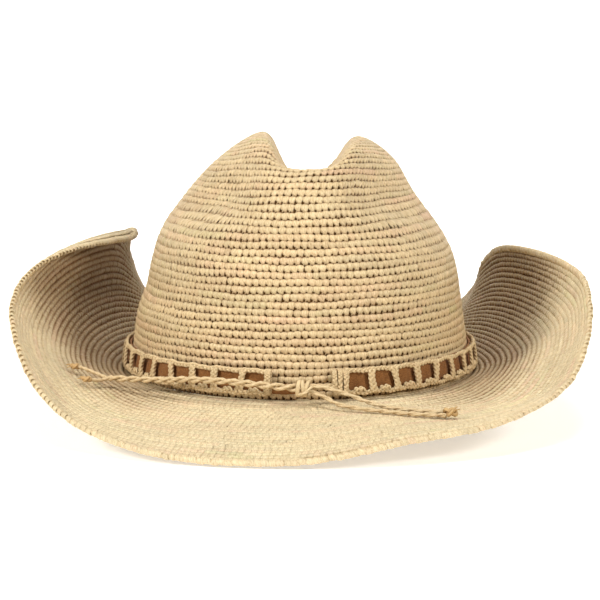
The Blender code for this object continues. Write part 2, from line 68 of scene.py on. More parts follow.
# ---- driving dimensions, the same as the CAD model's ----
CROWN_A, CROWN_B = (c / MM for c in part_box("crown")[1][:2])  # half width and half length at the base
SIDE_R = (87, 84.8, 82.7, 80.6, 78, 74.3, 69.2, 63.2, 55.3, 47.8, 37.5, 25, 12, 0)
SIDE_Z = (0, 18, 33, 48, 59, 67, 75, 83, 94, 104.7, 114.4, 121.3, 124.5, 125.5)
FORE_R = (105, 102.8, 100.6, 98.4, 96.3, 94.3, 92.4, 90, 86, 79.5, 67.5, 48, 25, 0)
FORE_Z = (0, 18, 33, 48.5, 60, 68.5, 77.5, 86.5, 97, 107.5, 116, 122, 124.8, 125.5)
GROOVE_FLOOR = 98.5
GROOVE_LEFT, GROOVE_RIGHT = (14, 20), (7, 23)
GROOVE_RISE = 27.0
GROOVE_TO_FRONT, GROOVE_TO_BACK = 9.5, 7  # the groove's floor rises to the front and sinks to the back
CREASE_SOFTNESS = 8.0
RIDGE_LEAN, RIGHT_DROP = 6.0, 3.0  # the ridges lean over, and the right one is lower
FLAT_SIDE = 3.2
DENT_Y, DENT_Z = -56.0, 94.0
DENT_LONG, DENT_HIGH = 30, 16
DENT_LEFT, DENT_RIGHT = 9.0, 7.0
SMOOTHING, SMOOTHING_SHARE = 8, 0.7
WALL, WALL_LEAN = 2.4, 0.122
# brim: (azimuth, edge x, y, z, slope at the crown, slope at the edge, lip roll), degrees and mm
BRIM = (
    (-90, 0, -172, -15, -12, -18, 0),
    (-72, 48, -166, -7, -12, -12, 0),
    (-55, 92, -142, -2, -10, 8, 0),
    (-40, 124, -109, 10, -4, 40, 0),
    (-28, 137, -78, 29, 6, 65, 0),
    (-16, 141, -41, 45, 12, 80, 0),
    (-2, 139, 0, 51, 16, 85, 0),
    (12, 126, 38, 54, 18, 90, 10),
    (26, 110, 74, 52, 20, 90, 20),
    (38, 102, 100, 44, 20, 85, 0),
    (49, 99, 122, 28, 14, 60, 0),
    (59, 88, 140, 14, 4, 30, 0),
    (72, 56, 161, 2, -6, 0, 0),
    (90, 0, 172, -6, -10, -14, 0),
    (106, -58, 161, 2, -6, 0, 0),
    (119, -88, 140, 18, 4, 30, 0),
    (128, -94, 121, 39, 16, 60, 5),
    (138, -96, 100, 53, 22, 85, 60),
    (149, -100, 80, 55, 20, 92, 140),
    (161, -110, 53, 55, 18, 92, 145),
    (174, -122, 18, 53, 16, 92, 115),
    (187, -132, -18, 49, 14, 92, 65),
    (200, -138, -55, 42, 10, 85, 15),
    (212, -134, -86, 28, 4, 70, 0),
    (222, -121, -112, 8, -4, 45, 0),
    (234, -97, -136, -7, -12, 10, 0),
    (250, -56, -161, -15, -14, -16, 0),
)
BRIM_REACH = 0.36  # how far its slopes carry, as a share of its width
LIP_RADIUS = 6.0
BAND_LOW, BAND_HIGH = 2.5, 14.7
BAND_MIDDLE = (BAND_LOW + BAND_HIGH) / 2
SUEDE_IN, SUEDE_OUT = 0.5, 1.6
SUEDE_INSET, SUEDE_TAPER = 0.6, 6.5  # narrower than the lattice, and still narrower at its left end
LATTICE_IN, LATTICE_OUT = 1.95, 4.2
WINDOWS, RAIL = 40, 1.9
RAIL_PLAIT = 0.58, 0.42, 6.4, 0.56  # a plait's half width, half depth, period and strand radius
RUNG_PLAIT = 0.50, 0.45, 6.2, 0.66
RUNG_PLAY, RUNG_LEAN, RUNG_SWAY, RUNG_BOW = 0.5, 0.6, 0.35, 0.35
PICOT = ((-2.2, 0.2), (-1.5, 1.3), (-0.5, 0.9), (0.2, 0.5), (0.9, 1.5), (1.9, 1.2), (2.2, 0.1))
GAP_LEFT, GAP_RIGHT = -13.5, 15.0
SUEDE_FROM, SUEDE_TO = GAP_RIGHT + 0.8, -2.0
END_LEFT, END_RIGHT = 2.6, 7.0
WRAP_HIGH, WRAP_OUT, WRAP_DEEP = 5.45, 3.35, 1.0  # a turn round the band: half height, middle, half depth
WRAP_SQUARE, WRAP_PERIODS = 0.7, 7
STRAND_R, CORD_CLEAR = 0.85, 0.45
KNOT = (1.4, -112.9, 7.0)
KNOT_HIGH = 3.35  # half height of the knot's turns
TWIST_PITCH = 14.4  # in the cord's left end
KX, KY, KZ = KNOT
BRIDGES = {
    "left": ((GAP_LEFT - 0.6, -107.9, KZ + 0.6), (-7.5, -109.9, KZ + 0.4), (KX - 1.5, KY + 0.9, KZ)),
    "right": ((GAP_RIGHT + 0.6, -107.6, KZ + 0.4), (10.0, -109.6, KZ + 0.2), (KX + 1.5, KY + 0.9, KZ)),
}
LEFT_CORD = ((KX - 1.2, KY - 0.9, KZ + 0.9), (KX - 5.9, KY - 0.6, KZ + 0.5), (-18, -112.2, 8.6),
             (-36, -105.2, 9.2), (-52, -95.6, 8.4), (-66, -86, 6.6), (-80, -77.5, 5.6), (-91, -71.8, 5.2))
LEFT_TAILS = (  # strand, its phase in the twist, its way to the stop knot, the stop knot and its cut ends
    ("a", math.pi, ((-96, -69.5, 6.2), (-101, -67.8, 8.0), (-107.5, -66.4, 10.2)),
     (-108.6, -66.2), ((-4.6, 0.6, 0.6), (-3.9, -1.6, -0.4))),
    ("b", 0.0, ((-94.5, -74.0, 4.8), (-96.5, -76.0, 4.8), (-101.0, -78.2, 5.6)),
     (-101.9, -78.6), ((-4.4, -1.0, 0.2), (-3.6, 1.4, 0.8))),
)
RIGHT_CORDS = {
    "a": ((KX + 1.2, KY - 0.8, KZ - 0.6), (KX + 4.6, KY - 0.8, KZ - 1.6), (11.5, -115.6, 3.4),
          (18, -118.6, 0.6), (28, -121.4, -0.9), (40, -124.4, -1.7), (54, -129.2, -2.1),
          (66.5, -131.6, -2.2)),
    "b": ((KX + 1.2, KY - 0.4, KZ + 0.8), (KX + 4.6, KY - 0.4, KZ + 1.3), (13.5, -114.2, 7.2),
          (22.6, -115.0, 4.4), (31, -117.2, 1.6), (41, -121.0, -0.4), (54.6, -125.8, -1.1),
          (66.5, -129.0, -1.5)),
}
RIGHT_STOP, RIGHT_CUT = (68.4, -130.8), ((4.4, 0.5, 1.0), (3.2, -1.2, 2.6))
SWEAT_HEIGHT, SWEAT_THICK, SWEAT_LOW, HEM_TOP = 30.0, 0.7, 1.2, 6.2
GAP, SIZING_CORD_R, CORD_PLAY = 0.35, 0.65, 0.25
SIZING_PITCH, SIZING_PLY = 4.0, 0.33

# ---- crochet gauge ----
CROWN_ROUND, CROWN_STITCH = 3.45, 3.4  # height of a round and width of a stitch on the crown
LEVEL_ROUNDS = 25  # rounds that stay level before they follow the creased top
BRIM_ROUNDS, BRIM_ROUND, BRIM_STITCH = 27, 2.9, 2.9  # the brim is worked tighter
CROWN_TEMPLATES = 6
BRIM_TIGHT = (1.0, 0.95, 0.88, 0.75, 0.6, 0.5, 0.55, 0.45)  # each template's tightness, looser half last
FLAT_RELIEF, PRESSED, INSIDE_SHADE = 0.13, 0.88, 0.56  # relief and painted shade of the brim
PLAY_SHIFT, PLAY_SIZE, PLAY_SKEW = 0.035, 0.06, 0.05  # how unlike one another the stitches are
CORE_LAYERS = (-1.20, -1.55)  # faces of the thin sheet inside the cloth, which stands for the inner strands and holds painted shadow
SUB = 4  # samples of a fabric's surface per round
PIECE_STITCHES = 900  # stitches joined into one piece
EDGE_PITCH, EDGE_COVER = 3.3, 1.6  # an edge stitch's pitch, and how far it lies over the brim

# ---- camera and light: metres, degrees, watts ----
CAMERA_DISTANCE, CAMERA_ELEVATION, CAMERA_AIM = 1.1, 7.2, (0.0, 0.0, 0.034)
CAMERA_LENS = 128.7
HAT = (0, 0, 0.05)  # what the lights aim at
LIGHTS = (  # name, place, target, width, power, colour
    ("key_left", (-1.15, -0.95, 0.85), HAT, 0.45, 18, (1.0, 0.99, 0.97)),
    ("key_right", (1.10, -1.00, 0.85), HAT, 0.45, 14, (1.0, 0.99, 0.97)),
    ("top", (0.0, -0.35, 1.5), HAT, 0.7, 12.5, (1, 1, 1)),
    ("backdrop", (0.0, 0.7, 1.2), (0.0, 2.2, 0.5), 1.5, 25, (1, 1, 1)),
)
PAPER_FRONT, PAPER_HALF, PAPER_TOP, PAPER_GAP = -3.0, 4, 3.5, 0.0005
SWEEP_START, SWEEP_RADIUS = 1.6, 0.8  # where the paper bends up behind the hat
PAPER_GLOW, WORLD_LIGHT = 0.4, 0.05

# ---- colours: (place, (red, green, blue)) along a ramp, or one colour ----
STRAW = ((0.0, (0.77, 0.58, 0.40)), (1.0, (0.70, 0.625, 0.37)), (0.30, (0.755, 0.615, 0.40)),
         (0.5, (0.745, 0.625, 0.40)), (0.72, (0.755, 0.645, 0.425)))
STREAKS = ((0.32, (0.66, 0.56, 0.44)), (0.58, (1.04, 1.03, 1.0)))  # lines along a strand
WARM_TINT = (0.86, 0.62, 0.34, 1.0)  # what a warmer copy of the raffia tends to
SHADE_BROWN = (0.20, 0.095, 0.03, 1.0)  # painted shade between and under the stitches, and in the curled brim
INNER_SHADOW = ((0.3, (0.06, 0.028, 0.009)), (0.7, (0.13, 0.068, 0.025)))  # inside the cloth: painted shadow, near black, seen through the holes between the stitches
SUEDE = ((0.30, (0.13, 0.045, 0.012)), (0.66, (0.42, 0.195, 0.065)))
NAP = ((0.30, (0.70, 0.68, 0.66)), (0.70, (1.15, 1.12, 1.08)))
TWILL = ((0.0, (0.72, 0.70, 0.66)), (1.0, (1.05, 1.04, 1.02)))
STEEL = ((0.4, (0.36, 0.35, 0.34)), (0.6, (0.55, 0.54, 0.53)))
COTTON, COTTON_CORD = (0.80, 0.72, 0.58), (0.86, 0.80, 0.68)
PAPER = (0.93, 0.93, 0.93, 1.0)
WHITE = (1.0, 1.0, 1.0, 1.0)


# ---- small geometry helpers ----
def smoothstep(low, high, x):
    t = np.clip((x - low) / (high - low), 0, 1)
    return t * t * (3 - 2 * t)


def spline(values, t):
    """Smooth curve through evenly spaced values, or rows of values, for t from 0 to 1."""
    v = np.asarray(values, float)
    n = len(v) - 1
    x = np.clip(t, 0, 1) * n
    i = np.minimum(x.astype(int), n - 1)
    f = (x - i).reshape(x.shape + (1,) * (v.ndim - 1))
    b, c = v[i], v[i + 1]
    first = (i > 0).reshape(f.shape)
    last = (i < n - 1).reshape(f.shape)
    a = np.where(first, v[np.maximum(i - 1, 0)], 2 * b - c)
    d = np.where(last, v[np.minimum(i + 2, n)], 2 * c - b)
    return b + 0.5 * f * (c - a + f * (2 * a - 5 * b + 4 * c - d + f * (3 * b - a - 3 * c + d)))


def ripple(a, *waves):
    """Sum of waves round the hat, each of a height, a number of waves in a turn, and a phase."""
    return sum(height * np.sin(number * a + phase) for height, number, phase in waves)


def azimuths(count):
    return np.arange(count) * TURN / count


def unit(v):
    return v / np.maximum(np.linalg.norm(v, axis=-1, keepdims=True), 1e-9)


def run_length(points):
    """Distance along a line, or along every column of a grid, from its first point."""
    steps = np.linalg.norm(np.diff(points, axis=0), axis=-1)
    return np.concatenate([np.zeros((1,) + steps.shape[1:]), np.cumsum(steps, axis=0)])


def resample(points, count, trim=0.0):
    """Evenly spaced points along a line, leaving out the last trim millimetres."""
    run = run_length(points)
    at = np.linspace(0, run[-1] - trim, count)
    return np.stack([np.interp(at, run, points[:, k]) for k in range(3)], -1)


def smooth_line(points, count):
    """Smooth curve through control points, evenly resampled."""
    return resample(spline(points, np.linspace(0, 1, 12 * len(points))), count)


# ---- the hat's surfaces ----
def crown_point(angle, u):
    """Outer face of the creased crown: azimuth, and u from 0 at the break row to 1 at the top."""
    angle, u = np.broadcast_arrays(np.asarray(angle, float), np.asarray(u, float))
    fore = np.sin(angle)**2
    x = spline(SIDE_R, u) * np.cos(angle)
    y = spline(FORE_R, u) * np.sin(angle)
    z = spline(SIDE_Z, u) * (1 - fore) + spline(FORE_Z, u) * fore
    lean = RIDGE_LEAN * smoothstep(88, 120, z)
    floor = GROOVE_FLOOR + GROOVE_TO_FRONT * smoothstep(-30, -88, y) - GROOVE_TO_BACK * smoothstep(-10, 80, y)
    front = smoothstep(-50, -88, y)
    left = smoothstep(GROOVE_LEFT[0] - 12 * front, GROOVE_LEFT[1] + 30 * front, -x)
    right = smoothstep(GROOVE_RIGHT[0] - 5 * front, GROOVE_RIGHT[1] + 26 * front, x)
    cut = floor + GROOVE_RISE * np.where(x < 0, left, right) + 1.5 * np.maximum(np.abs(x) - 22, 0)
    h = np.clip(0.5 + 0.5 * (cut - z) / CREASE_SOFTNESS, 0, 1)
    z = cut * (1 - h) + z * h - CREASE_SOFTNESS * h * (1 - h)
    z = z - RIGHT_DROP * smoothstep(5, 30, x) * smoothstep(91, 118, z)
    for side, depth in ((-1, DENT_LEFT), (1, DENT_RIGHT)):
        near = np.exp(-((y - DENT_Y) / DENT_LONG)**2 - ((z - DENT_Z) / DENT_HIGH)**2)
        dent = near * smoothstep(8, 38, side * x)
        x = x - side * depth * dent
        y = y + 0.5 * depth * dent
        z = z - 0.3 * depth * dent
    x = x + FLAT_SIDE * smoothstep(29, 46, z) * (1 - smoothstep(56, 80, z)) * smoothstep(20, 65, -x)
    return np.stack([x + lean, y, z], -1)


def creased_crown():
    """Grid of the crown from the break row to the middle, its crease rounded the way fabric rounds it."""
    fine_rows, fine_cols = 60, 180
    u = 0.985 * np.linspace(0, 1, fine_rows)**0.9
    p = crown_point(azimuths(fine_cols)[None, :], u[:, None])
    weight = smoothstep(76, 98, p[..., 2:])
    weight[0] = 0
    for _ in range(SMOOTHING):
        mean = (np.roll(p, 1, 1) + np.roll(p, -1, 1)) / 4
        mean[1:-1] += (p[:-2] + p[2:]) / 4
        mean[-1] += (p[-2] + p[-1].mean(0)) / 4
        mean[0] = p[0]
        p = p + SMOOTHING_SHARE * weight * (mean - p)
    return np.concatenate([p, np.tile(p[-1].mean(0), (1, fine_cols, 1))])


def brim_row(angle):
    """The brim table at an azimuth in radians: smooth curves that go round the hat through its rows."""
    v = np.array([*BRIM[-2:], *BRIM, *BRIM[:3]], float)
    a = v[:, 0] + np.repeat([-360, 0, 360], [2, len(BRIM), 3])
    d = (math.degrees(angle) - a[2]) % 360 + a[2]
    i = int(np.clip(np.searchsorted(a, d, side="right") - 1, 1, len(a) - 3))
    h = a[i + 1] - a[i]
    t = (d - a[i]) / h
    m0 = (v[i + 1] - v[i - 1]) / (a[i + 1] - a[i - 1]) * h
    m1 = (v[i + 2] - v[i]) / (a[i + 2] - a[i]) * h
    return ((2 * t**3 - 3 * t**2 + 1) * v[i] + (t**3 - 2 * t**2 + t) * m0
            + (3 * t**2 - 2 * t**3) * v[i + 1] + (t**3 - t**2) * m1)


def oval_normal(angle):
    """Outward direction of the head opening's oval."""
    a = np.asarray(angle, float)
    return unit(np.stack([CROWN_B * np.cos(a), CROWN_A * np.sin(a), 0 * a], -1))


def brim_profile(angle):
    """Points of the brim's upper face at one azimuth, from the break row to the edge."""
    row = brim_row(angle)
    edge = row[1:4]
    slope_in, slope_out, roll = (math.radians(v) for v in row[4:])
    start = np.array([CROWN_A * math.cos(angle), CROWN_B * math.sin(angle), 0.0])
    n = oval_normal(angle)
    reach = BRIM_REACH * np.linalg.norm(edge - start)
    c1 = start + reach * (math.cos(slope_in) * n + math.sin(slope_in) * UP)
    c2 = edge - reach * (math.cos(slope_out) * n + math.sin(slope_out) * UP)
    t = np.linspace(0, 1, 60)[:, None]
    pts = (1 - t)**3 * start + 3 * (1 - t)**2 * t * c1 + 3 * (1 - t) * t**2 * c2 + t**3 * edge
    if roll > 0.02:
        a = slope_out + np.linspace(0, 1, 24)[1:, None] * roll
        lip = edge + LIP_RADIUS * ((np.sin(a) - math.sin(slope_out)) * n
                                   - (np.cos(a) - math.cos(slope_out)) * UP)
        pts = np.concatenate([pts, lip])
    return pts


def band_point(angle, out, z):
    """Points a given distance outside the crown wall at a height above the break row."""
    angle, out, z = np.broadcast_arrays(*(np.asarray(v, float) for v in (angle, out, z)))
    shrink = WALL_LEAN * z
    p = np.stack([(CROWN_A - shrink) * np.cos(angle), (CROWN_B - shrink) * np.sin(angle), z], -1)
    return p + out[..., None] * oval_normal(angle)


def front_angle(x, out):
    """Azimuth at the front where a ring the given distance outside the crown has this x."""
    return -math.pi / 2 + math.asin(x / (CROWN_A - 1.0 + out))


class Fabric:
    """A crocheted surface: a grid with SUB rows per round of stitches, whose columns wrap round the hat."""

    def __init__(self, grid, facing):
        self.grid = grid
        self.rows, self.cols = grid.shape[:2]
        along = np.roll(grid, -1, 1) - np.roll(grid, 1, 1)
        self.normal = facing * unit(np.cross(along, np.gradient(grid, axis=0)))
        self.speed = np.linalg.norm(along, axis=2) / (2 * TURN / self.cols)
        self.rounds = (self.rows - 1) / SUB

    def lerp(self, values, turn, angle):
        i = np.clip(np.asarray(turn, float) * SUB, 0, self.rows - 1.001)
        j = (np.asarray(angle, float) / TURN * self.cols) % self.cols
        i0, j0 = i.astype(int), j.astype(int)
        f, g = i - i0, j - j0
        j0, j1 = j0 % self.cols, (j0 + 1) % self.cols
        if values.ndim == 3:
            f, g = f[..., None], g[..., None]
        low = values[i0, j0] * (1 - g) + values[i0, j1] * g
        high = values[i0 + 1, j0] * (1 - g) + values[i0 + 1, j1] * g
        return low * (1 - f) + high * f

    def place(self, turn, angle, out):
        """Points at a round, an azimuth and a height above the surface."""
        return self.lerp(self.grid, turn, angle) + np.asarray(out)[..., None] * self.lerp(
            self.normal, turn, angle)

    def spiral(self, first, last, width, angle):
        """Stitches in the order they are worked: round, azimuth of the middle, angular width."""
        stitches = []
        turn = first
        while turn < last:
            speed = float(self.lerp(self.speed, turn, angle))
            step = min(width / max(speed, 1e-3), TURN / 5)
            stitches.append((turn, angle, step))
            angle += step
            turn += step / TURN
        return np.array(stitches)


def crown_fabric():
    """Rounds that stay level up the wall, then share out the way to the middle of the top."""
    p = spline(creased_crown(), np.linspace(0, 1, 500))
    half = (9 * (p + np.roll(p, -1, 1)) - np.roll(p, 1, 1) - np.roll(p, -2, 1)) / 16
    p = np.stack([p, half], 2).reshape(len(p), -1, 3)
    run = run_length(p)
    top = LEVEL_ROUNDS * CROWN_ROUND
    level = np.array([run[np.argmax(p[:, j, 2] >= top), j] for j in range(p.shape[1])])
    for _ in range(6):
        level = (np.roll(level, 1) + 2 * level + np.roll(level, -1)) / 4
    rounds = LEVEL_ROUNDS + round((run[-1] - level).mean() / CROWN_ROUND)
    turn = np.arange(rounds * SUB + 1) / SUB
    cols = []
    for j in range(p.shape[1]):
        wall = p[:np.argmax(p[:, j, 2] >= top) + 1, j, 2]
        heights = np.interp(turn[turn <= LEVEL_ROUNDS] * CROWN_ROUND, np.maximum.accumulate(wall),
                            run[:len(wall), j])
        heights *= level[j] / heights[-1]
        rest = turn[turn > LEVEL_ROUNDS] - LEVEL_ROUNDS
        at = np.concatenate([heights, level[j] + rest * (run[-1, j] - level[j]) / (rounds - LEVEL_ROUNDS)])
        cols.append(np.stack([np.interp(at, run[:, j], p[:, j, k]) for k in range(3)], -1))
    return Fabric(np.stack(cols, 1), 1)


def brim_fabric():
    """Rounds from the crown's inner face, under its wall, to the edging."""
    rows = BRIM_ROUNDS * SUB + 1
    cols = []
    for a in azimuths(480):
        line = brim_profile(a)
        line = np.concatenate([[line[0] - WALL * oval_normal(a)], line])
        cols.append(resample(line, rows, EDGE_COVER))
    return Fabric(np.stack(cols, 1), -1)


# ---- strands ----
def carried_side(tangent):
    """A side direction for every point of a line, carried along it without turning."""
    start = (0.0, 0.0, 1.0) if abs(tangent[0][2]) < 0.9 else (0.0, 1.0, 0.0)
    side = unit(np.cross(tangent[0], start))
    out = []
    for t in tangent:
        side = unit(side - t * side.dot(t))
        out.append(side)
    return np.array(out)


class Heap:
    """Arrays of one mesh, gathered piece by piece."""

    def __init__(self):
        self.parts = {}
        self.base = 0

    def keep(self, **arrays):
        for key, value in arrays.items():
            self.parts.setdefault(key, []).append(value)

    def joined(self):
        return {key: np.concatenate(value) for key, value in self.parts.items()}


class Strands(Heap):
    """Strands gathered into one mesh.  Each keeps its own tint and its own cells of the UV map."""

    CELL_RINGS = 24

    def __init__(self, seed=0):
        super().__init__()
        self.rng = np.random.default_rng(seed)
        self.cells = 0

    def add(self, path, width, thick=None, side=None, sides=8, ridges=0, groove=0.0, twist=0.0, closed=False,
            light=None, depth=0.0, shaded=0.0):
        """A strand of half width along the side direction and half thickness across it; twist is in turns/mm.

        A shaded strand has shade painted on the faces that look away from the outside of the hat, and depth
        paints shade all over it.
        """
        p = np.asarray(path, float)
        n = len(p)
        tangent = unit(np.roll(p, -1, 0) - np.roll(p, 1, 0) if closed else np.gradient(p, axis=0))
        side = carried_side(tangent) if side is None else np.broadcast_to(side, p.shape)
        side = unit(side - tangent * np.sum(side * tangent, 1)[:, None])
        up = np.cross(tangent, side)
        run = run_length(p)
        a = azimuths(sides)
        turned = a + TURN * twist * run[:, None]
        r = 1 - groove * (0.5 + 0.5 * np.cos(ridges * a))
        w = np.broadcast_to(width, n)[:, None] * r * np.cos(turned)
        t = np.broadcast_to(width if thick is None else thick, n)[:, None] * r * np.sin(turned)
        ring = p[:, None] + w[..., None] * side[:, None] + t[..., None] * up[:, None]
        spans = n if closed else n - 1
        k, s = (v.ravel() for v in np.meshgrid(np.arange(spans), np.arange(sides), indexing="ij"))
        k1, s1 = (k + 1) % n, (s + 1) % sides
        corners = np.stack([k * sides + s, k * sides + s1, k1 * sides + s1, k1 * sides + s], -1)
        per = min(self.CELL_RINGS, spans)
        v0 = 0.08 + 0.92 * (k % per) / per
        v1 = v0 + 0.92 / per
        u0, u1 = s / sides, (s + 1) / sides
        uv = np.array([(u0, v0), (u1, v0), (u1, v1), (u0, v1)]).transpose(2, 0, 1)
        self.keep(loops=self.base + corners.ravel(), sizes=np.full(len(k), 4), uv=uv.reshape(-1, 2),
                  cell=np.repeat(self.cells + k // per, 4))
        if not closed:
            ends = np.concatenate([np.arange(sides)[::-1], (n - 1) * sides + np.arange(sides)])
            disc = np.stack([np.cos(a), np.sin(a)], -1) * 0.035
            self.keep(loops=self.base + ends, sizes=np.full(2, sides), cell=np.full(2 * sides, self.cells),
                      uv=np.concatenate([disc[::-1] + (0.25, 0.038), disc + (0.75, 0.038)]))
        tint = np.zeros((n, sides, 4))
        tint[..., 0] = np.clip(self.rng.normal(0.5, 0.12), 0, 1)
        tint[..., 1] = np.clip(self.rng.normal(0.5, 0.15), 0, 1) if light is None else light
        # the third channel of the tint is painted shade, all over the strand and on its faces turned away
        # from the outside
        tint[..., 2] = depth
        if shaded:
            outside = unit(unit(p * (1, 1, 0)) + (0, 0, 0.4))
            facing = np.sum(unit(ring - p[:, None]) * outside[:, None], -1)
            tint[..., 2] = np.maximum(depth, shaded * smoothstep(0.55, -0.45, facing))
        tint[..., 3] = 1
        fibre = np.zeros((n, sides, 3))
        fibre[..., 0] = run[:, None] + self.rng.uniform(0, 400)
        fibre[..., 1], fibre[..., 2] = np.cos(a), np.sin(a)
        self.keep(verts=ring.reshape(-1, 3), tint=tint.reshape(-1, 4), fibre=fibre.reshape(-1, 3))
        self.base += n * sides
        self.cells += -(-spans // per)

    def done(self):
        """The arrays, with the UV cells laid out in a square."""
        made = self.joined()
        side = math.ceil(math.sqrt(self.cells))
        cell = made.pop("cell")
        made["uv"] = (np.stack([cell % side, cell // side], -1) + 0.04 + 0.92 * made["uv"]) / side
        return made

    def build(self, name, mat, body, slot, node=None):
        make_object(name, mat, body, slot, node, **self.done())


def stitch_template(rng, cell, tight):
    """A single crochet: the plump loop, the slanted leg at its lower left, and the bar on the wrong side."""
    w, h = cell
    loop = np.array([  # across, up the round, height of its face, half width, half thickness
        (0.20, -0.14, -1.20, 0.70, 0.40), (0.18, 0.07, -0.78, 0.75, 0.50), (0.11, 0.28, -0.34, 1.00, 0.60),
        (0.01, 0.50, 0.00, 2.00, 0.70), (-0.01, 0.71, 0.08, 2.35, 0.66), (-0.02, 0.90, -0.08, 2.20, 0.54),
        (-0.02, 1.08, -0.80, 1.40, 0.40)])
    loop[:, 2] -= tight * np.array([0.15, 0.32, 0.33, 0, 0, 0.50, 0.50])
    loop[:, 3] += tight * (2.2 - loop[:, 3]) * 0.85
    loop[1:-1, 0] += 0.03 * rng.uniform(-1, 1, 5)
    loop[1:-1, 2] += 0.06 * rng.uniform(-1, 1, 5)
    loop[:, 3] *= 1 + 0.05 * rng.uniform(-1, 1)
    fine = spline(loop, np.linspace(0, 1, 8 if tight else 9))
    shape = Strands()
    path = fine[:, :3] * (w, h, 1) - np.outer(fine[:, 4], (0, 0, 1))
    shape.add(path, fine[:, 3] * w / CROWN_STITCH, fine[:, 4], side=(1.0, 0.0, 0.0), sides=7 if tight else 12,
              ridges=0 if tight else 5, groove=0.10)
    if not tight:
        leg = np.array([(-0.29, -0.10, -1.3), (-0.22, 0.10, -0.95), (-0.13, 0.28, -0.72),
                        (-0.02, 0.46, -0.75)])
        leg[:, 0] += 0.03 * rng.uniform(-1, 1)
        shape.add(spline(leg * (w, h, 1), np.linspace(0, 1, 5)), 0.38, 0.34, side=(1.0, 0.0, 0.0), sides=5)
    bar = spline(np.array([(-0.56, 0.30, 0.30 - WALL), (-0.20, 0.46, 0.48 - WALL), (0.20, 0.50, 0.46 - WALL),
                           (0.56, 0.36, 0.30 - WALL)]) * (w, h, 1), np.linspace(0, 1, 5))
    shape.add(bar, 0.40 * h, 0.46, side=(0.0, 1.0, 0.0), sides=6)
    made = shape.done()
    # painted shade: the deeper a point lies inside the cloth, the darker
    inside = 1 - np.abs(made["verts"][:, 2] + WALL / 2) / (WALL / 2)
    made["depth"] = smoothstep(0.15, 1.0, inside)
    made["verts"] = made["verts"] / (w, h, 1.0)
    return made


# ---- meshes ----
def quad_grid(rows, cols, wrap=True, ring=False):
    """Faces of a grid of rows by columns, whose columns may wrap round, and whose rows may close a ring."""
    spans = rows if ring else rows - 1, cols if wrap else cols - 1
    i, j = np.meshgrid(*map(np.arange, spans), indexing="ij")
    low, high, j1 = i * cols, (i + 1) % rows * cols, (j + 1) % cols
    return np.stack([low + j, low + j1, high + j1, high + j], -1).reshape(-1, 4)


def make_object(name, mat, body, slot, node, verts, loops, sizes, uv=None, tint=None, fibre=None):
    """An object that rides on a body and may replace a CAD node; verts in millimetres."""
    mesh = bpy.data.meshes.new(name)
    mesh.vertices.add(len(verts))
    mesh.vertices.foreach_set("co", (np.asarray(verts, float) * MM).astype(np.float32).ravel())
    mesh.loops.add(len(loops))
    mesh.loops.foreach_set("vertex_index", np.asarray(loops, np.int32))
    mesh.polygons.add(len(sizes))
    starts = np.concatenate([[0], np.cumsum(sizes)[:-1]]).astype(np.int32)
    mesh.polygons.foreach_set("loop_start", starts)
    mesh.update(calc_edges=True)
    mesh.validate()
    if uv is not None:
        layer = mesh.uv_layers.new(name="OFBake")
        layer.data.foreach_set("uv", np.asarray(uv, np.float32).ravel())
    for key, kind, field, values in (("tint", "FLOAT_COLOR", "color", tint),
                                     ("fibre", "FLOAT_VECTOR", "vector", fibre)):
        if values is not None:
            layer = mesh.attributes.new(key, kind, "POINT")
            layer.data.foreach_set(field, np.asarray(values, np.float32).ravel())
    mesh.shade_smooth()
    mesh.materials.append(mat)
    ob = link_object(name, mesh)
    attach(ob, body)
    if node:
        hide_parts(node)


def link_object(name, data):
    ob = bpy.data.objects.new(name, data)
    bpy.context.scene.collection.objects.link(ob)
    return ob


def strand_tints(rng, count):
    """Hue and lightness of each stitch: one length of raffia makes a few stitches, then the next follows."""
    hue, light = np.zeros(count), np.zeros(count)
    k = 0
    while k < count:
        run = int(rng.integers(3, 14))
        hue[k:k + run] = np.clip(rng.normal(0.5, 0.17), 0, 1)
        light[k:k + run] = rng.normal(0.5, 0.16)
        k += run
    return (np.clip(hue + rng.normal(0, 0.06, count), 0, 1),
            np.clip(light + rng.normal(0, 0.12, count), 0, 1))


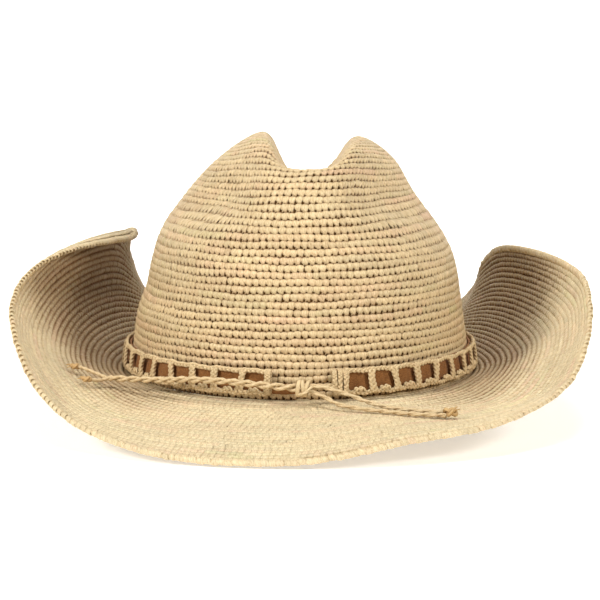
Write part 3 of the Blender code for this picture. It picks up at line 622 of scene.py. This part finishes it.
def crochet(name, fabric, stitches, templates, mat, node, seed, jitter, relief, shade=None):
    """Lays stitches on a fabric, in pieces of PIECE_STITCHES, the first of which replaces the node.

    By share of the way out and azimuth, relief flattens their faces and shade paints shade on the upper ones.
    """
    rng = np.random.default_rng(seed)
    hue, light = strand_tints(rng, len(stitches))
    half = len(templates) // 2
    for part, first in enumerate(range(0, len(stitches), PIECE_STITCHES)):
        chunk = stitches[first:first + PIECE_STITCHES]
        side = math.ceil(math.sqrt(len(chunk)))
        pick = rng.integers(0, len(templates), len(chunk))
        if shade is not None:  # the looser half of the templates where the rounds stand up
            loose = rng.random(len(chunk)) < relief(chunk[:, 0] / fabric.rounds, chunk[:, 1])
            pick = pick % half + loose * half
        heap = Heap()
        for m, shape in enumerate(templates):
            at = np.flatnonzero(pick == m)
            if not len(at):
                continue
            turn, angle, step = chunk[at].T
            n = len(at)
            corners = len(shape["verts"])
            s, t, out = shape["verts"].T
            shift = rng.normal(0, PLAY_SHIFT, (n, 3)) * jitter
            size = 1 + rng.normal(0, PLAY_SIZE, (n, 1)) * jitter
            s = s[None] * size + shift[:, :1] + rng.normal(0, PLAY_SKEW, (n, 1)) * jitter * t[None]
            t = t[None] + shift[:, 1:2]
            out = out[None] + 2.2 * shift[:, 2:3]
            height = relief(turn / fabric.rounds, angle)[:, None]
            out = np.where(out > -WALL / 2, out * height, out)
            # painted shade deep in each stitch, fading where the stitches are pressed flat
            painted_shade = np.tile(shape["depth"], (n, 1)) * smoothstep(0.2, 0.9, height)
            # painted shade inside the curled brim, on the upper faces only
            if shade is not None:
                curl_shade = shade(turn / fabric.rounds, angle)[:, None]
                painted_shade = np.where(out > -WALL / 2, curl_shade + (1 - curl_shade) * painted_shade, painted_shade)
            drift = jitter * ripple(angle, (0.07, 5, 1.1 * turn), (0.05, 11, -0.9 * turn))
            where_turn = (turn + drift)[:, None] + t + s * step[:, None] / TURN
            where_angle = angle[:, None] + s * step[:, None]
            tint = np.zeros((n, corners, 4))
            tint[..., 0], tint[..., 1] = hue[first + at][:, None], light[first + at][:, None]
            tint[..., 2], tint[..., 3] = painted_shade, 1
            thread = np.tile(shape["fibre"], (n, 1, 1))
            thread[..., 0] += 11.7 * (first + at)[:, None]
            corner = np.stack([at % side, at // side], -1)[:, None, :]
            heap.keep(verts=fabric.place(where_turn, where_angle, out).reshape(-1, 3),
                      loops=(heap.base + np.arange(n)[:, None] * corners + shape["loops"]).ravel(),
                      sizes=np.tile(shape["sizes"], n), tint=tint.reshape(-1, 4), fibre=thread.reshape(-1, 3),
                      uv=((corner + 0.03 + 0.94 * shape["uv"]) / side).reshape(-1, 2))
            heap.base += n * corners
        replaced = None if part else node
        make_object(f"{name}_{part + 1:02d}", mat, "hat_body", "raffia", replaced, **heap.joined())


def closed_sheet(name, mat, body, slot, node, outer, inner, wrap=True, open_top=True):
    """Closed thin solid between two grids of rows by columns."""
    rows, cols = outer.shape[:2]
    size, top = rows * cols, (rows - 1) * cols
    faces = quad_grid(rows, cols, wrap)
    j = np.arange(cols if wrap else cols - 1)
    j1 = (j + 1) % cols
    rims = [(j1, j)]
    if open_top:
        rims.append((top + j, top + j1))
    if not wrap:
        i = np.arange(rows - 1) * cols
        rims += [(i, i + cols), (i + 2 * cols - 1, i + cols - 1)]
    walls = [np.stack([a, b, size + b, size + a], -1) for a, b in rims]
    faces = np.concatenate([faces, faces[:, ::-1] + size, *walls])
    verts = np.concatenate([outer.reshape(-1, 3), inner.reshape(-1, 3)])
    make_object(name, mat, body, slot, node, verts, faces.ravel(), np.full(len(faces), 4))


def core_sheet(name, mat, fabric, open_top=True):
    """The inner strands of a fabric as one thin closed sheet inside it, dark with painted shadow."""
    t, a = np.meshgrid(np.arange(0, fabric.rows, 2) / SUB, azimuths(fabric.cols // 2), indexing="ij")
    layers = [fabric.place(t, a, np.full(t.shape, out)) for out in CORE_LAYERS]
    closed_sheet(name, mat, "hat_body", "raffia", None, *layers, open_top=open_top)


# ---- materials ----
class Look:
    """A material and the nodes that make it up.  Inputs are other nodes' sockets or plain values."""

    def __init__(self, name, roughness, specular):
        self.mat = bpy.data.materials.new(name)
        self.mat.use_nodes = True
        self.nodes, self.links = self.mat.node_tree.nodes, self.mat.node_tree.links
        self.shader = self.nodes["Principled BSDF"].inputs
        self.shader["Roughness"].default_value = roughness
        self.shader["Specular IOR Level"].default_value = specular

    def add(self, kind, inputs=(), **settings):
        """A new node's outputs."""
        node = self.nodes.new("ShaderNode" + kind)
        for key, value in settings.items():
            setattr(node, key, value)
        for key, value in dict(inputs).items():
            if isinstance(value, bpy.types.NodeSocket):
                self.links.new(value, node.inputs[key])
            elif value is not None:
                node.inputs[key].default_value = value
        return node.outputs

    def ramp(self, value, *stops):
        """Colours along a value, each at its place."""
        out = self.add("ValToRGB", {0: value})[0]
        places = out.node.color_ramp.elements
        for k, (place, rgb) in enumerate(stops):
            stop = places[k] if k < 2 else places.new(place)
            stop.position, stop.color = place, (*rgb, 1.0)
        return out

    def mix(self, mode, factor, a, b):
        """Two colours blended."""
        return self.add("Mix", {0: factor, 6: a, 7: b}, data_type="RGBA", blend_type=mode)[2]

    def noise(self, scale, detail=2.0, vector=None):
        return self.add("TexNoise", {"Scale": scale, "Detail": detail, "Vector": vector})["Fac"]

    def attribute(self, name, output):
        return self.add("Attribute", attribute_name=name)[output]

    def colour(self, value):
        self.links.new(value, self.shader["Base Color"])

    def bump(self, height, distance, strength):
        bump = self.add("Bump", {"Strength": strength, "Distance": distance * MM, "Height": height})
        self.links.new(bump[0], self.shader["Normal"])


def raffia_material(name, warm=0.0, shade=1.0):
    """Split palm fibre: straw colours that change from strand to strand, with lines along the strand."""
    look = Look(name, roughness=0.55, specular=0.3)
    hue, light, depth = look.add("SeparateColor", {0: look.attribute("tint", "Color")})
    hue = look.ramp(hue, *STRAW)
    light = look.ramp(light, (0.0, (0.86 * shade,) * 3), (1.0, (1.10 * shade,) * 3))
    colour = look.mix("MULTIPLY", 1.0, hue, light)
    along = look.add("Mapping", {"Vector": look.attribute("fibre", "Vector"), "Scale": (0.16, 1.0, 1.0)})
    lines = look.noise(scale=4.5, detail=3.0, vector=along[0])
    colour = look.mix("MULTIPLY", 0.8, colour, look.ramp(lines, *STREAKS))
    if warm:
        colour = look.mix("MULTIPLY", warm, colour, WARM_TINT)
    # painted shade: the tint's third channel mixes the colour towards a dark brown
    look.colour(look.mix("MIX", depth, colour, SHADE_BROWN))
    look.bump(lines, distance=0.12, strength=0.6)
    return look.mat


def inner_shadow_material():
    """The inner strands, nearly black with painted shadow, seen only through the holes between the stitches.
    """
    look = Look("raffia_inner_shadow", roughness=0.9, specular=0.1)
    look.colour(look.ramp(look.noise(scale=900.0), *INNER_SHADOW))
    return look.mat


def suede_material():
    """Brown suede: a short nap that lies in patches."""
    look = Look("suede", roughness=0.95, specular=0.15)
    nap = look.noise(scale=2600.0)
    patches = look.ramp(look.noise(scale=160.0, detail=3.0), *SUEDE)
    look.colour(look.mix("MULTIPLY", 0.8, patches, look.ramp(nap, *NAP)))
    look.shader["Sheen Weight"].default_value = 0.12
    look.shader["Sheen Roughness"].default_value = 0.5
    look.bump(nap, distance=0.15, strength=0.7)
    return look.mat


def cotton_material(name, rgb, scale):
    """Twilled cotton: threads along and across, and small uneven spots."""
    look = Look(name, roughness=0.9, specular=0.15)
    threads = look.attribute("fibre", "Vector")
    inputs = {"Vector": threads, "Scale": scale, "Distortion": 1.2, "Detail Scale": 2.0}
    waves = [look.add("TexWave", inputs, bands_direction=way)["Fac"] for way in "XY"]
    weave = look.mix("MULTIPLY", 0.7, *waves)
    darker = tuple(0.88 * c for c in rgb)
    spots = look.ramp(look.noise(scale=220.0, detail=3.0), (0.35, darker), (0.65, rgb))
    look.colour(look.mix("MULTIPLY", 1.0, spots, look.ramp(weave, *TWILL)))
    look.bump(weave, distance=0.2, strength=0.6)
    return look.mat


def wire_material():
    look = Look("wire", roughness=0.35, specular=0.5)
    look.colour(look.ramp(look.noise(scale=700.0, detail=4.0), *STEEL))
    look.shader["Metallic"].default_value = 1.0
    return look.mat


# ---- the hat itself ----
def crown_relief(share, angle):
    """The crown's sides are a little flatter than its front."""
    return 1 - 0.45 * smoothstep(0.35, 0.85, np.abs(np.cos(angle)))


def build_crown(raffia, inner):
    fabric = crown_fabric()
    rng = np.random.default_rng(11)
    shapes = [stitch_template(rng, (CROWN_STITCH, CROWN_ROUND), 0.0) for _ in range(CROWN_TEMPLATES)]
    stitches = fabric.spiral(-0.9, fabric.rounds - 0.6, CROWN_STITCH, -math.pi / 2)
    crochet("crown_stitches", fabric, stitches, shapes, raffia, "crown", seed=21, jitter=1.0,
            relief=crown_relief)
    core_sheet("crown_core_shadow", inner, fabric, open_top=False)


def towards_front(angle):
    """0 at the back and 1 at the front, changing over a little behind the middle of the right side."""
    return smoothstep(-0.15, 0.20, 0.15 * np.cos(angle) - np.sin(angle))


def brim_relief(share, angle):
    """The front and the back are pressed flat; at the sides every round stands up as a ridge."""
    side = smoothstep(0.35, 0.90, np.abs(np.cos(angle)))
    pressed = PRESSED * smoothstep(0.2, 0.62, share) * towards_front(angle)
    return FLAT_RELIEF + (1 - FLAT_RELIEF) * side * (1 - pressed)


def brim_shade(share, angle):
    """Painted shade inside the curled sides, towards the crown, which the crown and the curl would shade:
    darker and browner there.
    """
    front = smoothstep(0.15, 0.6, share) * towards_front(angle)
    return INSIDE_SHADE * smoothstep(0.5, 0.95, np.abs(np.cos(angle))) * (1 - 0.95 * front)


def build_brim(raffia, inner):
    fabric = brim_fabric()
    rng = np.random.default_rng(12)
    shapes = [stitch_template(rng, (BRIM_STITCH, BRIM_ROUND), tight) for tight in BRIM_TIGHT]
    stitches = fabric.spiral(-0.9, fabric.rounds - 0.9, BRIM_STITCH, -math.pi / 2)
    crochet("brim_stitches", fabric, stitches, shapes, raffia, "brim", seed=22, jitter=0.8,
            relief=brim_relief, shade=brim_shade)
    core_sheet("brim_core_shadow", inner, fabric)


def edge_frames():
    """Evenly spaced points on the brim's edge, with the ways out of the brim, up and along the edge."""
    fine = np.stack([resample(brim_profile(v), 60)[-4:] for v in azimuths(480)], 1)
    along = np.roll(fine, -1, 1) - np.roll(fine, 1, 1)
    up = -unit(np.cross(along, np.gradient(fine, axis=0)))[-1]
    out = unit(fine[-1] - fine[-3])
    up = unit(up - out * np.sum(up * out, 1)[:, None])
    rows = np.concatenate([fine[-1], out, up], 1)
    rows = np.concatenate([rows, rows[:1]])
    run = run_length(rows[:, :3])
    count = round(run[-1] / EDGE_PITCH)
    at = np.arange(count) * run[-1] / count
    rows = np.stack([np.interp(at, run, rows[:, k]) for k in range(9)], 1)
    point, out, up = rows[:, :3], unit(rows[:, 3:6]), unit(rows[:, 6:])
    return point, out, up, np.cross(up, out)


def build_edging(raffia):
    """Slanted stitches that go over the brim's rim and the wire in it."""
    strands = Strands(seed=31)
    mid = -WALL / 2
    section = np.array([(-3.0, 0.3, -0.9), (-2.3, 0.78, -0.7), (-1.5, 0.85, -0.4),
                        (-0.6, 0.75, 0.0), (-0.1, 0.35, 0.3), (-0.1, -0.35, 0.5), (-0.6, -0.8, 0.7),
                        (-1.8, -0.85, 0.9), (-3.0, -0.3, 1.0)])
    width = np.array([0.5, 1.0, 1.7, 1.95, 1.9, 1.9, 1.95, 1.8, 1.2])
    points, outs, ups, alongs = edge_frames()
    for inset, wide, thick in ((2.1, 1.5, 0.75), (0.95, 0.8, 0.8)):  # the strands it is worked over, with a little painted shade
        strands.add(points - inset * outs + mid * ups, wide, thick, side=outs, closed=True, depth=0.12)
    for point, out, up, along in zip(points, outs, ups, alongs):
        wide = 1 + strands.rng.normal(0, 0.08)
        lift = strands.rng.normal(0, 0.14)
        slant = section[:, 2] + strands.rng.normal(0, 0.12)
        path = point + np.outer(section[:, 0], out) + np.outer(section[:, 1] + mid + lift, up)
        path = spline(path + np.outer(slant, along), np.linspace(0, 1, 12))
        strands.add(path, wide * spline(width, np.linspace(0, 1, 12)), 0.55, side=along, sides=8)
    strands.build("edging_stitches", raffia, "hat_body", "raffia_edge", "brim_edging")


def inner_frames(count):
    """Points on the crown's inner face at its base, and the ways inward."""
    a = azimuths(count)
    return band_point(a, -WALL, 0), -oval_normal(a)


def build_sweatband(cotton, thread):
    """Cotton band with a turned-up hem, sewn on with a running stitch, and a second row along its top."""
    t, low, top = SWEAT_THICK, SWEAT_LOW, SWEAT_HEIGHT
    hem = GAP + 0.1
    leaf = GAP + t + 2 * (SIZING_CORD_R + CORD_PLAY)
    lean = 0.8 * WALL_LEAN * top
    middle = (low + top) / 2
    section = ((hem + 0.6, HEM_TOP), (hem + 0.1, 3.5), (hem, low + 0.5), (hem + 0.5, low), (leaf, low),
               (leaf + t, low + 0.5), (leaf + t, low + 3), (leaf + t + 0.5 * lean, middle),
               (leaf + t + lean, top - 0.4), (leaf + t / 2 + lean, top), (leaf + lean, top - 0.4),
               (leaf + 0.5 * lean, middle), (leaf, low + 3), (leaf - 0.2, low + t),
               (hem + t, low + t), (hem + t + 0.2, 3.5), (hem + t + 0.4, HEM_TOP))
    count = 360
    point, inward = inner_frames(count)
    wave = ripple(azimuths(count), (0.12, 9, 1), (0.08, 23, 0))
    grid = []
    for across, up in section:
        loose = wave * smoothstep(8, top, up)
        grid.append(point + (across + loose)[:, None] * inward + up * UP)
    grid = np.array(grid)
    faces = quad_grid(len(grid), count, ring=True)
    fibre = np.zeros_like(grid)
    fibre[..., 0] = run_length(point)
    fibre[..., 1] = run_length(grid[:, 0])[:, None]
    make_object("sweatband_cloth", cotton, "hat_body", "cotton", "sweatband", grid.reshape(-1, 3),
                faces.ravel(), np.full(len(faces), 4), fibre=fibre.reshape(-1, 3))
    seam = Strands(seed=33)
    for height, across in ((HEM_TOP - 0.8, leaf + t + 0.12 * lean), (top - 2.0, leaf + t + 0.93 * lean)):
        fine, way = inner_frames(1080)
        for k in range(0, 1080, 6):
            line = fine[k:k + 4] + (across + 0.1) * way[k:k + 4] + height * UP
            line[0] -= 0.3 * way[k]
            line[-1] -= 0.3 * way[k + 3]
            seam.add(line, 0.22, sides=5, light=0.9)
    seam.build("sweatband_seams", thread, "hat_body", "cotton_cord")


def build_sizing_cord(thread):
    """Three-ply cord in the hem, whose ends meet at the back."""
    t = SWEAT_THICK
    offset = GAP + 0.1 + t + CORD_PLAY + SIZING_CORD_R
    rise = SWEAT_LOW + t + CORD_PLAY + SIZING_CORD_R
    count, apart = 600, 5
    back = count // 4
    point, inward = inner_frames(count)
    line = np.roll(point + offset * inward + rise * UP, -back - apart, 0)[:-2 * apart]
    inward = np.roll(inward, -back - apart, 0)[:-2 * apart]
    run = run_length(line)
    cord = Strands(seed=34)
    for ply in range(3):
        a = TURN * (run / SIZING_PITCH + ply / 3)
        path = line + SIZING_PLY * (np.cos(a)[:, None] * inward + np.sin(a)[:, None] * UP)
        cord.add(path, 0.34, sides=6, light=0.7)
    cord.build("sizing_cord_plies", thread, "hat_body", "cotton_cord", "sizing_cord")


# ---- the hatband ----
def plait(strands, centre, across, out, measures, shift):
    """Three strands plaited along a line, as a chain of crochet lies."""
    width, depth, period, radius = measures
    run = run_length(centre)
    for ply in range(3):
        a = TURN * (run / period + ply / 3 + shift)
        path = centre + (width * np.sin(a))[:, None] * across + (depth * np.sin(2 * a))[:, None] * out
        strands.add(path, 1.15 * radius, 0.9 * radius, side=across, sides=8, shaded=0.7)


def build_lattice(raffia):
    """Openwork band: two chain rails, pairs of upright chains between them, a picot in each window."""
    strands = Strands(seed=41)
    first = front_angle(GAP_RIGHT + END_RIGHT - 0.8, LATTICE_OUT)
    last = front_angle(GAP_LEFT - END_LEFT + 0.8, LATTICE_OUT) + TURN
    out = (LATTICE_IN + LATTICE_OUT) / 2
    mean = (CROWN_A + CROWN_B) / 2 + out
    a = np.linspace(first, last, 1500)
    for z, phase in ((BAND_LOW + RAIL / 2, 0.0), (BAND_HIGH - RAIL / 2, 0.3)):
        heights = z + ripple(a, (0.26, 37, phase), (0.16, 83, 0))
        plait(strands, band_point(a, out, heights), UP, oval_normal(a), RAIL_PLAIT, phase)
    pitch = (last - first) / WINDOWS
    rise = np.linspace(BAND_LOW + 0.7, BAND_HIGH - 0.7, 20)
    for k in range(WINDOWS + 1):
        at = first + k * pitch + strands.rng.normal(0, RUNG_PLAY) / mean
        lean = strands.rng.normal(0, RUNG_LEAN)
        hands = (1,) if k == 0 else (-1,) if k == WINDOWS else (-1, 1)
        for hand in hands:
            flare = 0.55 + 0.80 * ((rise - BAND_MIDDLE) / (BAND_MIDDLE - BAND_LOW))**2
            sway = RUNG_SWAY * np.sin(0.55 * rise + strands.rng.uniform(0, 6))
            slide = (hand * flare + sway + lean * (rise - BAND_MIDDLE) / 6) / mean
            bow = out + RUNG_BOW + RUNG_BOW * np.cos((rise - BAND_MIDDLE) / 6 * math.pi / 2)
            centre = band_point(at + slide, bow, rise)
            n = oval_normal(at + slide)
            across = np.stack([-n[:, 1], n[:, 0], 0 * n[:, 0]], -1)
            plait(strands, centre, across, n, RUNG_PLAIT, strands.rng.uniform())
    for k in range(WINDOWS):
        at = first + (k + 0.5) * pitch + strands.rng.normal(0, 0.4) / mean
        size = 1 + strands.rng.normal(0, 0.12)
        line = spline(np.array(PICOT) * size, np.linspace(0, 1, 16))
        for row in (0.0, 0.9):
            path = band_point(at + (line[:, 0] + row) / mean, out + 0.3 + 0.5 * row,
                              BAND_LOW + RAIL - 0.1 + line[:, 1] - 0.5 * row)
            strands.add(path, 0.58, sides=7, shaded=0.7)
    strands.build("lattice_chains", raffia, "hatband", "raffia_edge", "band_lattice")


def build_suede(suede):
    """Strip of suede behind the lattice, a little wavy, its edges cut by hand."""
    first, last = front_angle(SUEDE_FROM, SUEDE_OUT), front_angle(SUEDE_TO, SUEDE_OUT) + TURN
    a = np.linspace(first, last, 900)
    share = np.linspace(0, 1, 9)
    low = BAND_LOW + SUEDE_INSET + ripple(a, (0.12, 31, 0), (0.08, 77, 0))
    high = BAND_HIGH - SUEDE_INSET + ripple(a, (0.12, 27, 2), (0.08, 91, 0))
    high = high - SUEDE_TAPER * smoothstep(last - 17 / CROWN_B, last - 13 / CROWN_B, a)
    z = low + (high - low) * share[:, None]
    puff = ripple(a, (0.14, 41, 4 * share[:, None]), (0.10, 113, -5 * share[:, None]))
    edge = 0.15 * np.abs(2 * share[:, None] - 1)**6
    outer, inner = (band_point(a, out, z) for out in (SUEDE_OUT + puff - edge, SUEDE_IN + 0.15 + edge))
    closed_sheet("suede_nap", suede, "hatband", "suede", "suede_strip", outer, inner, wrap=False)


def wrap_loop(strands, x, radius, high=0.0):
    """One plaited turn of raffia round the band."""
    angle = front_angle(x, 4.0)
    n = oval_normal(angle)
    across = np.array([-n[1], n[0], 0.0])
    t = azimuths(120)
    c, s = np.cos(t), np.sin(t)
    z = BAND_MIDDLE + (WRAP_HIGH + high) * np.sign(s) * np.abs(s)**WRAP_SQUARE
    out = WRAP_OUT + WRAP_DEEP * np.sign(c) * np.abs(c)**WRAP_SQUARE
    for ply in range(3):
        a = WRAP_PERIODS * t + TURN * ply / 3 + x
        swing = 0.25 * np.sin(t + x) + 0.6 * radius * np.sin(a)
        path = band_point(angle + 0 * t, out + 0.4 * radius * np.sin(2 * a), z) + np.outer(swing, across)
        strands.add(path, 0.62 * radius, 0.5 * radius, side=across, sides=8, closed=True, shaded=0.7)


def build_ends(raffia):
    """The loops that close the lattice at the front."""
    left, right = Strands(seed=43), Strands(seed=44)
    for k in range(2):
        wrap_loop(left, GAP_LEFT - END_LEFT + 0.75 + 1.2 * k, 0.72, 0.1 * k)
    for k in range(3):
        wrap_loop(right, GAP_RIGHT + 1.2 + 2.35 * k, 1.05, 0.15 * (k % 2))
    left.build("end_loops_left", raffia, "hatband", "raffia_edge", "lattice_end_left")
    right.build("end_loops_right", raffia, "hatband", "raffia_edge", "lattice_end_right")


def add_ply(strands, line, radius):
    """A strand of twisted raffia: three ridges that wind round it."""
    strands.add(line, radius, sides=12, ridges=3, groove=0.26, twist=0.10, shaded=0.5)


def twisted(line, radius, pitch, phase):
    """Offsets a line onto one ply of a two-ply twist."""
    tangent = unit(np.gradient(line, axis=0))
    side = unit(np.cross(tangent, (0.0, 0.0, 1.0)))
    a = TURN * run_length(line) / pitch + phase
    radius = np.broadcast_to(radius, len(line))[:, None]
    return line + radius * (np.cos(a)[:, None] * side + np.sin(a)[:, None] * np.cross(side, tangent))


def build_bridges(raffia):
    """The cord from each end of the lattice to the knot."""
    for side, points in BRIDGES.items():
        strands = Strands(seed=45)
        line = smooth_line(np.array(points), 40)
        for phase in (0.0, math.pi):
            add_ply(strands, twisted(line, 0.62, 7.0, phase), 0.72)
        strands.build(f"bridge_{side}", raffia, "hatband", "raffia_cord", f"cord_bridge_{side}")


def build_knot(raffia):
    """Three turns of the cord round itself, and the end that crosses in front of them."""
    strands = Strands(seed=46)
    centre = np.array(KNOT)
    t = np.linspace(0, TURN, 37)[:-1]
    for dx, turn, lean in ((-2.1, 0.12, 0.10), (-0.1, -0.05, -0.08), (1.9, 0.30, 0.25)):
        y, z = 2.15 * np.cos(t), KNOT_HIGH * np.sin(t)
        x = dx + turn * y + lean * z
        strands.add(centre + np.stack([x, y, z], -1), 1.08, 0.9, sides=12, closed=True, ridges=3, groove=0.25,
                    side=(1.0, 0.0, 0.0), shaded=0.6)
    cross = smooth_line(centre + np.array([(-3.0, 0.2, -1.6), (-1.6, -2.3, -2.4), (0.9, -3.1, -1.6),
                                           (3.0, -2.3, 0.2), (4.4, -0.6, 1.2)]), 30)
    add_ply(strands, cross, 0.85)
    strands.build("knot_turns", raffia, "hatband", "raffia_cord", "tie_knot")


def brim_heights():
    """A function for the height of the brim's upper face in front of the crown."""
    grid = np.stack([resample(brim_profile(a), 30) for a in azimuths(240)], 1).reshape(-1, 3)

    def height(x, y):
        near = np.argsort((grid[:, 0] - x)**2 + (grid[:, 1] - y)**2)[:4]
        return float(grid[near, 2].max())
    return height


def rest_on_brim(line, radius, height):
    """Lifts the points of a line that would sink into the brim."""
    out = line.copy()
    for p in out:
        if math.hypot(p[0] / CROWN_A, p[1] / CROWN_B) > 1.0:
            p[2] = max(p[2], height(p[0], p[1]) + radius + CORD_CLEAR)
    return out


def stop_knot(name, centre, size, raffia, body, node, ends):
    """A pulled-tight knot with short cut ends."""
    strands = Strands(47 + len(name))
    t = np.linspace(0, TURN, 97)[:-1]
    knot = np.stack([np.sin(t) + 2 * np.sin(2 * t), np.cos(t) - 2 * np.cos(2 * t), -1.3 * np.sin(3 * t)], -1)
    knot = knot / 3 * (np.array(size) - 0.75) + centre
    strands.add(knot, 0.95, sides=10, closed=True, ridges=3, groove=0.25, shaded=0.6)
    for way in ends:
        way = np.array(way, float)
        line = centre + np.outer(np.linspace(0.3, 1, 8), way)
        line[:, 2] += 0.4 * np.sin(np.linspace(0, 3, 8))
        strands.add(line, np.linspace(0.5, 0.22, 8), sides=7, ridges=2, groove=0.2)
    strands.build(name, raffia, body, "raffia_knot", node)


def build_ties(raffia, knots):
    """Hanging cord ends: two strands twisted together on the left, two lying side by side on the right."""
    height = brim_heights()
    left = rest_on_brim(smooth_line(np.array(LEFT_CORD), 220), STRAND_R + 1.0, height)
    for seed, (tag, phase, way, stop, cut) in enumerate(LEFT_TAILS, 51):
        strands = Strands(seed)
        plied = twisted(left, 0.84 + 0.45 * np.exp(-run_length(left) / 14), TWIST_PITCH, phase)
        tail = smooth_line(np.array([plied[-1], *way]), 30)[1:]
        add_ply(strands, np.concatenate([plied, rest_on_brim(tail, STRAND_R, height)]), 1.12 * STRAND_R)
        strands.build(f"strand_left_{tag}", raffia, "tie_left", "raffia_cord", f"tie_strand_left_{tag}")
        centre = np.array([*stop, height(*stop) + 3.2])
        stop_knot(f"stop_left_{tag}", centre, (2.7, 2.2, 2.1), knots, "tie_left", f"tie_knot_left_{tag}", cut)
    for seed, (tag, points) in enumerate(RIGHT_CORDS.items(), 53):
        strands = Strands(seed)
        line = rest_on_brim(smooth_line(np.array(points), 160), STRAND_R, height)
        for phase in (0.0, math.pi):
            add_ply(strands, twisted(line, 0.42, 14.0, phase), 0.76)
        strands.build(f"strand_right_{tag}", raffia, "tie_right", "raffia_cord", f"tie_strand_right_{tag}")
    centre = np.array([*RIGHT_STOP, height(*RIGHT_STOP) + 3.3])
    stop_knot("stop_right", centre, (3.7, 3.0, 3.5), knots, "tie_right", "tie_knot_right", RIGHT_CUT)


# ---- the stage ----
def build_stage():
    low = CAD_BOX[0][2]
    look = Look("studio_white", roughness=0.9, specular=0.2)
    look.shader["Base Color"].default_value = PAPER
    look.shader["Emission Color"].default_value = WHITE
    look.shader["Emission Strength"].default_value = PAPER_GLOW
    r = SWEEP_RADIUS
    bend = [(SWEEP_START + r * math.sin(a), r - r * math.cos(a)) for a in np.linspace(0, math.pi / 2, 13)]
    rows = [(PAPER_FRONT, 0)] + bend + [(SWEEP_START + r, PAPER_TOP)]
    verts = [(x, y, z + low - PAPER_GAP) for y, z in rows for x in (-PAPER_HALF, PAPER_HALF)]
    faces = [(2 * k, 2 * k + 1, 2 * k + 3, 2 * k + 2) for k in range(len(rows) - 1)]
    mesh = bpy.data.meshes.new("studio_floor")
    mesh.from_pydata(verts, [], faces)
    mesh.shade_smooth()
    mesh.materials.append(look.mat)
    link_object("studio_floor", mesh)


def aim_object(name, data, place, target):
    ob = link_object(name, data)
    ob.location = place
    ob.rotation_euler = (Vector(target) - Vector(place)).to_track_quat("-Z", "Y").to_euler()
    return ob


def build_lights():
    world = bpy.data.worlds.new("studio")
    bpy.context.scene.world = world
    world.use_nodes = True
    nodes, links = world.node_tree.nodes, world.node_tree.links
    back = nodes["Background"]
    back.inputs["Color"].default_value = WHITE
    seen = nodes.new("ShaderNodeMath")  # seen as white paper, but giving only a little light
    seen.operation = "MULTIPLY_ADD"
    seen.inputs[1].default_value, seen.inputs[2].default_value = 1 - WORLD_LIGHT, WORLD_LIGHT
    links.new(nodes.new("ShaderNodeLightPath").outputs["Is Camera Ray"], seen.inputs[0])
    links.new(seen.outputs[0], back.inputs["Strength"])
    for name, place, target, size, power, colour in LIGHTS:
        lamp = bpy.data.lights.new(name, "AREA")
        lamp.shape, lamp.size, lamp.energy, lamp.color = "DISK", size, power, colour
        aim_object(name, lamp, place, target)


def build_camera():
    """Straight in front of the hat and a little above it."""
    elevation = math.radians(CAMERA_ELEVATION)
    back, up = CAMERA_DISTANCE * math.cos(elevation), CAMERA_DISTANCE * math.sin(elevation)
    place = (0.0, -back, CAMERA_AIM[2] + up)
    cam = bpy.data.cameras.new("camera")
    cam.sensor_width, cam.lens = 36.0, CAMERA_LENS
    bpy.context.scene.camera = aim_object("camera", cam, place, CAMERA_AIM)


raffia = raffia_material("raffia")
# the crown is the same raffia as the brim: its copy is a little darker, painted shade for its holes and
# humps, and warmer
shaded_crown_raffia = raffia_material("raffia_crown_shaded", warm=0.28, shade=0.95)
edge = raffia_material("raffia_edge", warm=0.08)
band = raffia_material("raffia_band", warm=0.30, shade=0.98)
cord = raffia_material("raffia_cord", warm=0.28, shade=0.98)
knots = raffia_material("raffia_knot", warm=0.75, shade=0.90)
inner = inner_shadow_material()
cotton = cotton_material("cotton", COTTON, scale=0.55)
thread = cotton_material("cotton_cord", COTTON_CORD, scale=1.2)
build_crown(shaded_crown_raffia, inner)
build_brim(raffia, inner)
build_edging(edge)
build_sweatband(cotton, thread)
build_sizing_cord(thread)
build_lattice(band)
build_suede(suede_material())
build_ends(band)
build_bridges(cord)
build_knot(cord)
build_ties(cord, knots)
WIRE_SLOT = bpy.data.objects["brim_wire"].material_slots[0]
WIRE_SLOT.material = wire_material()
build_stage()
build_lights()
build_camera()
bpy.context.scene.view_settings.view_transform = "Standard"
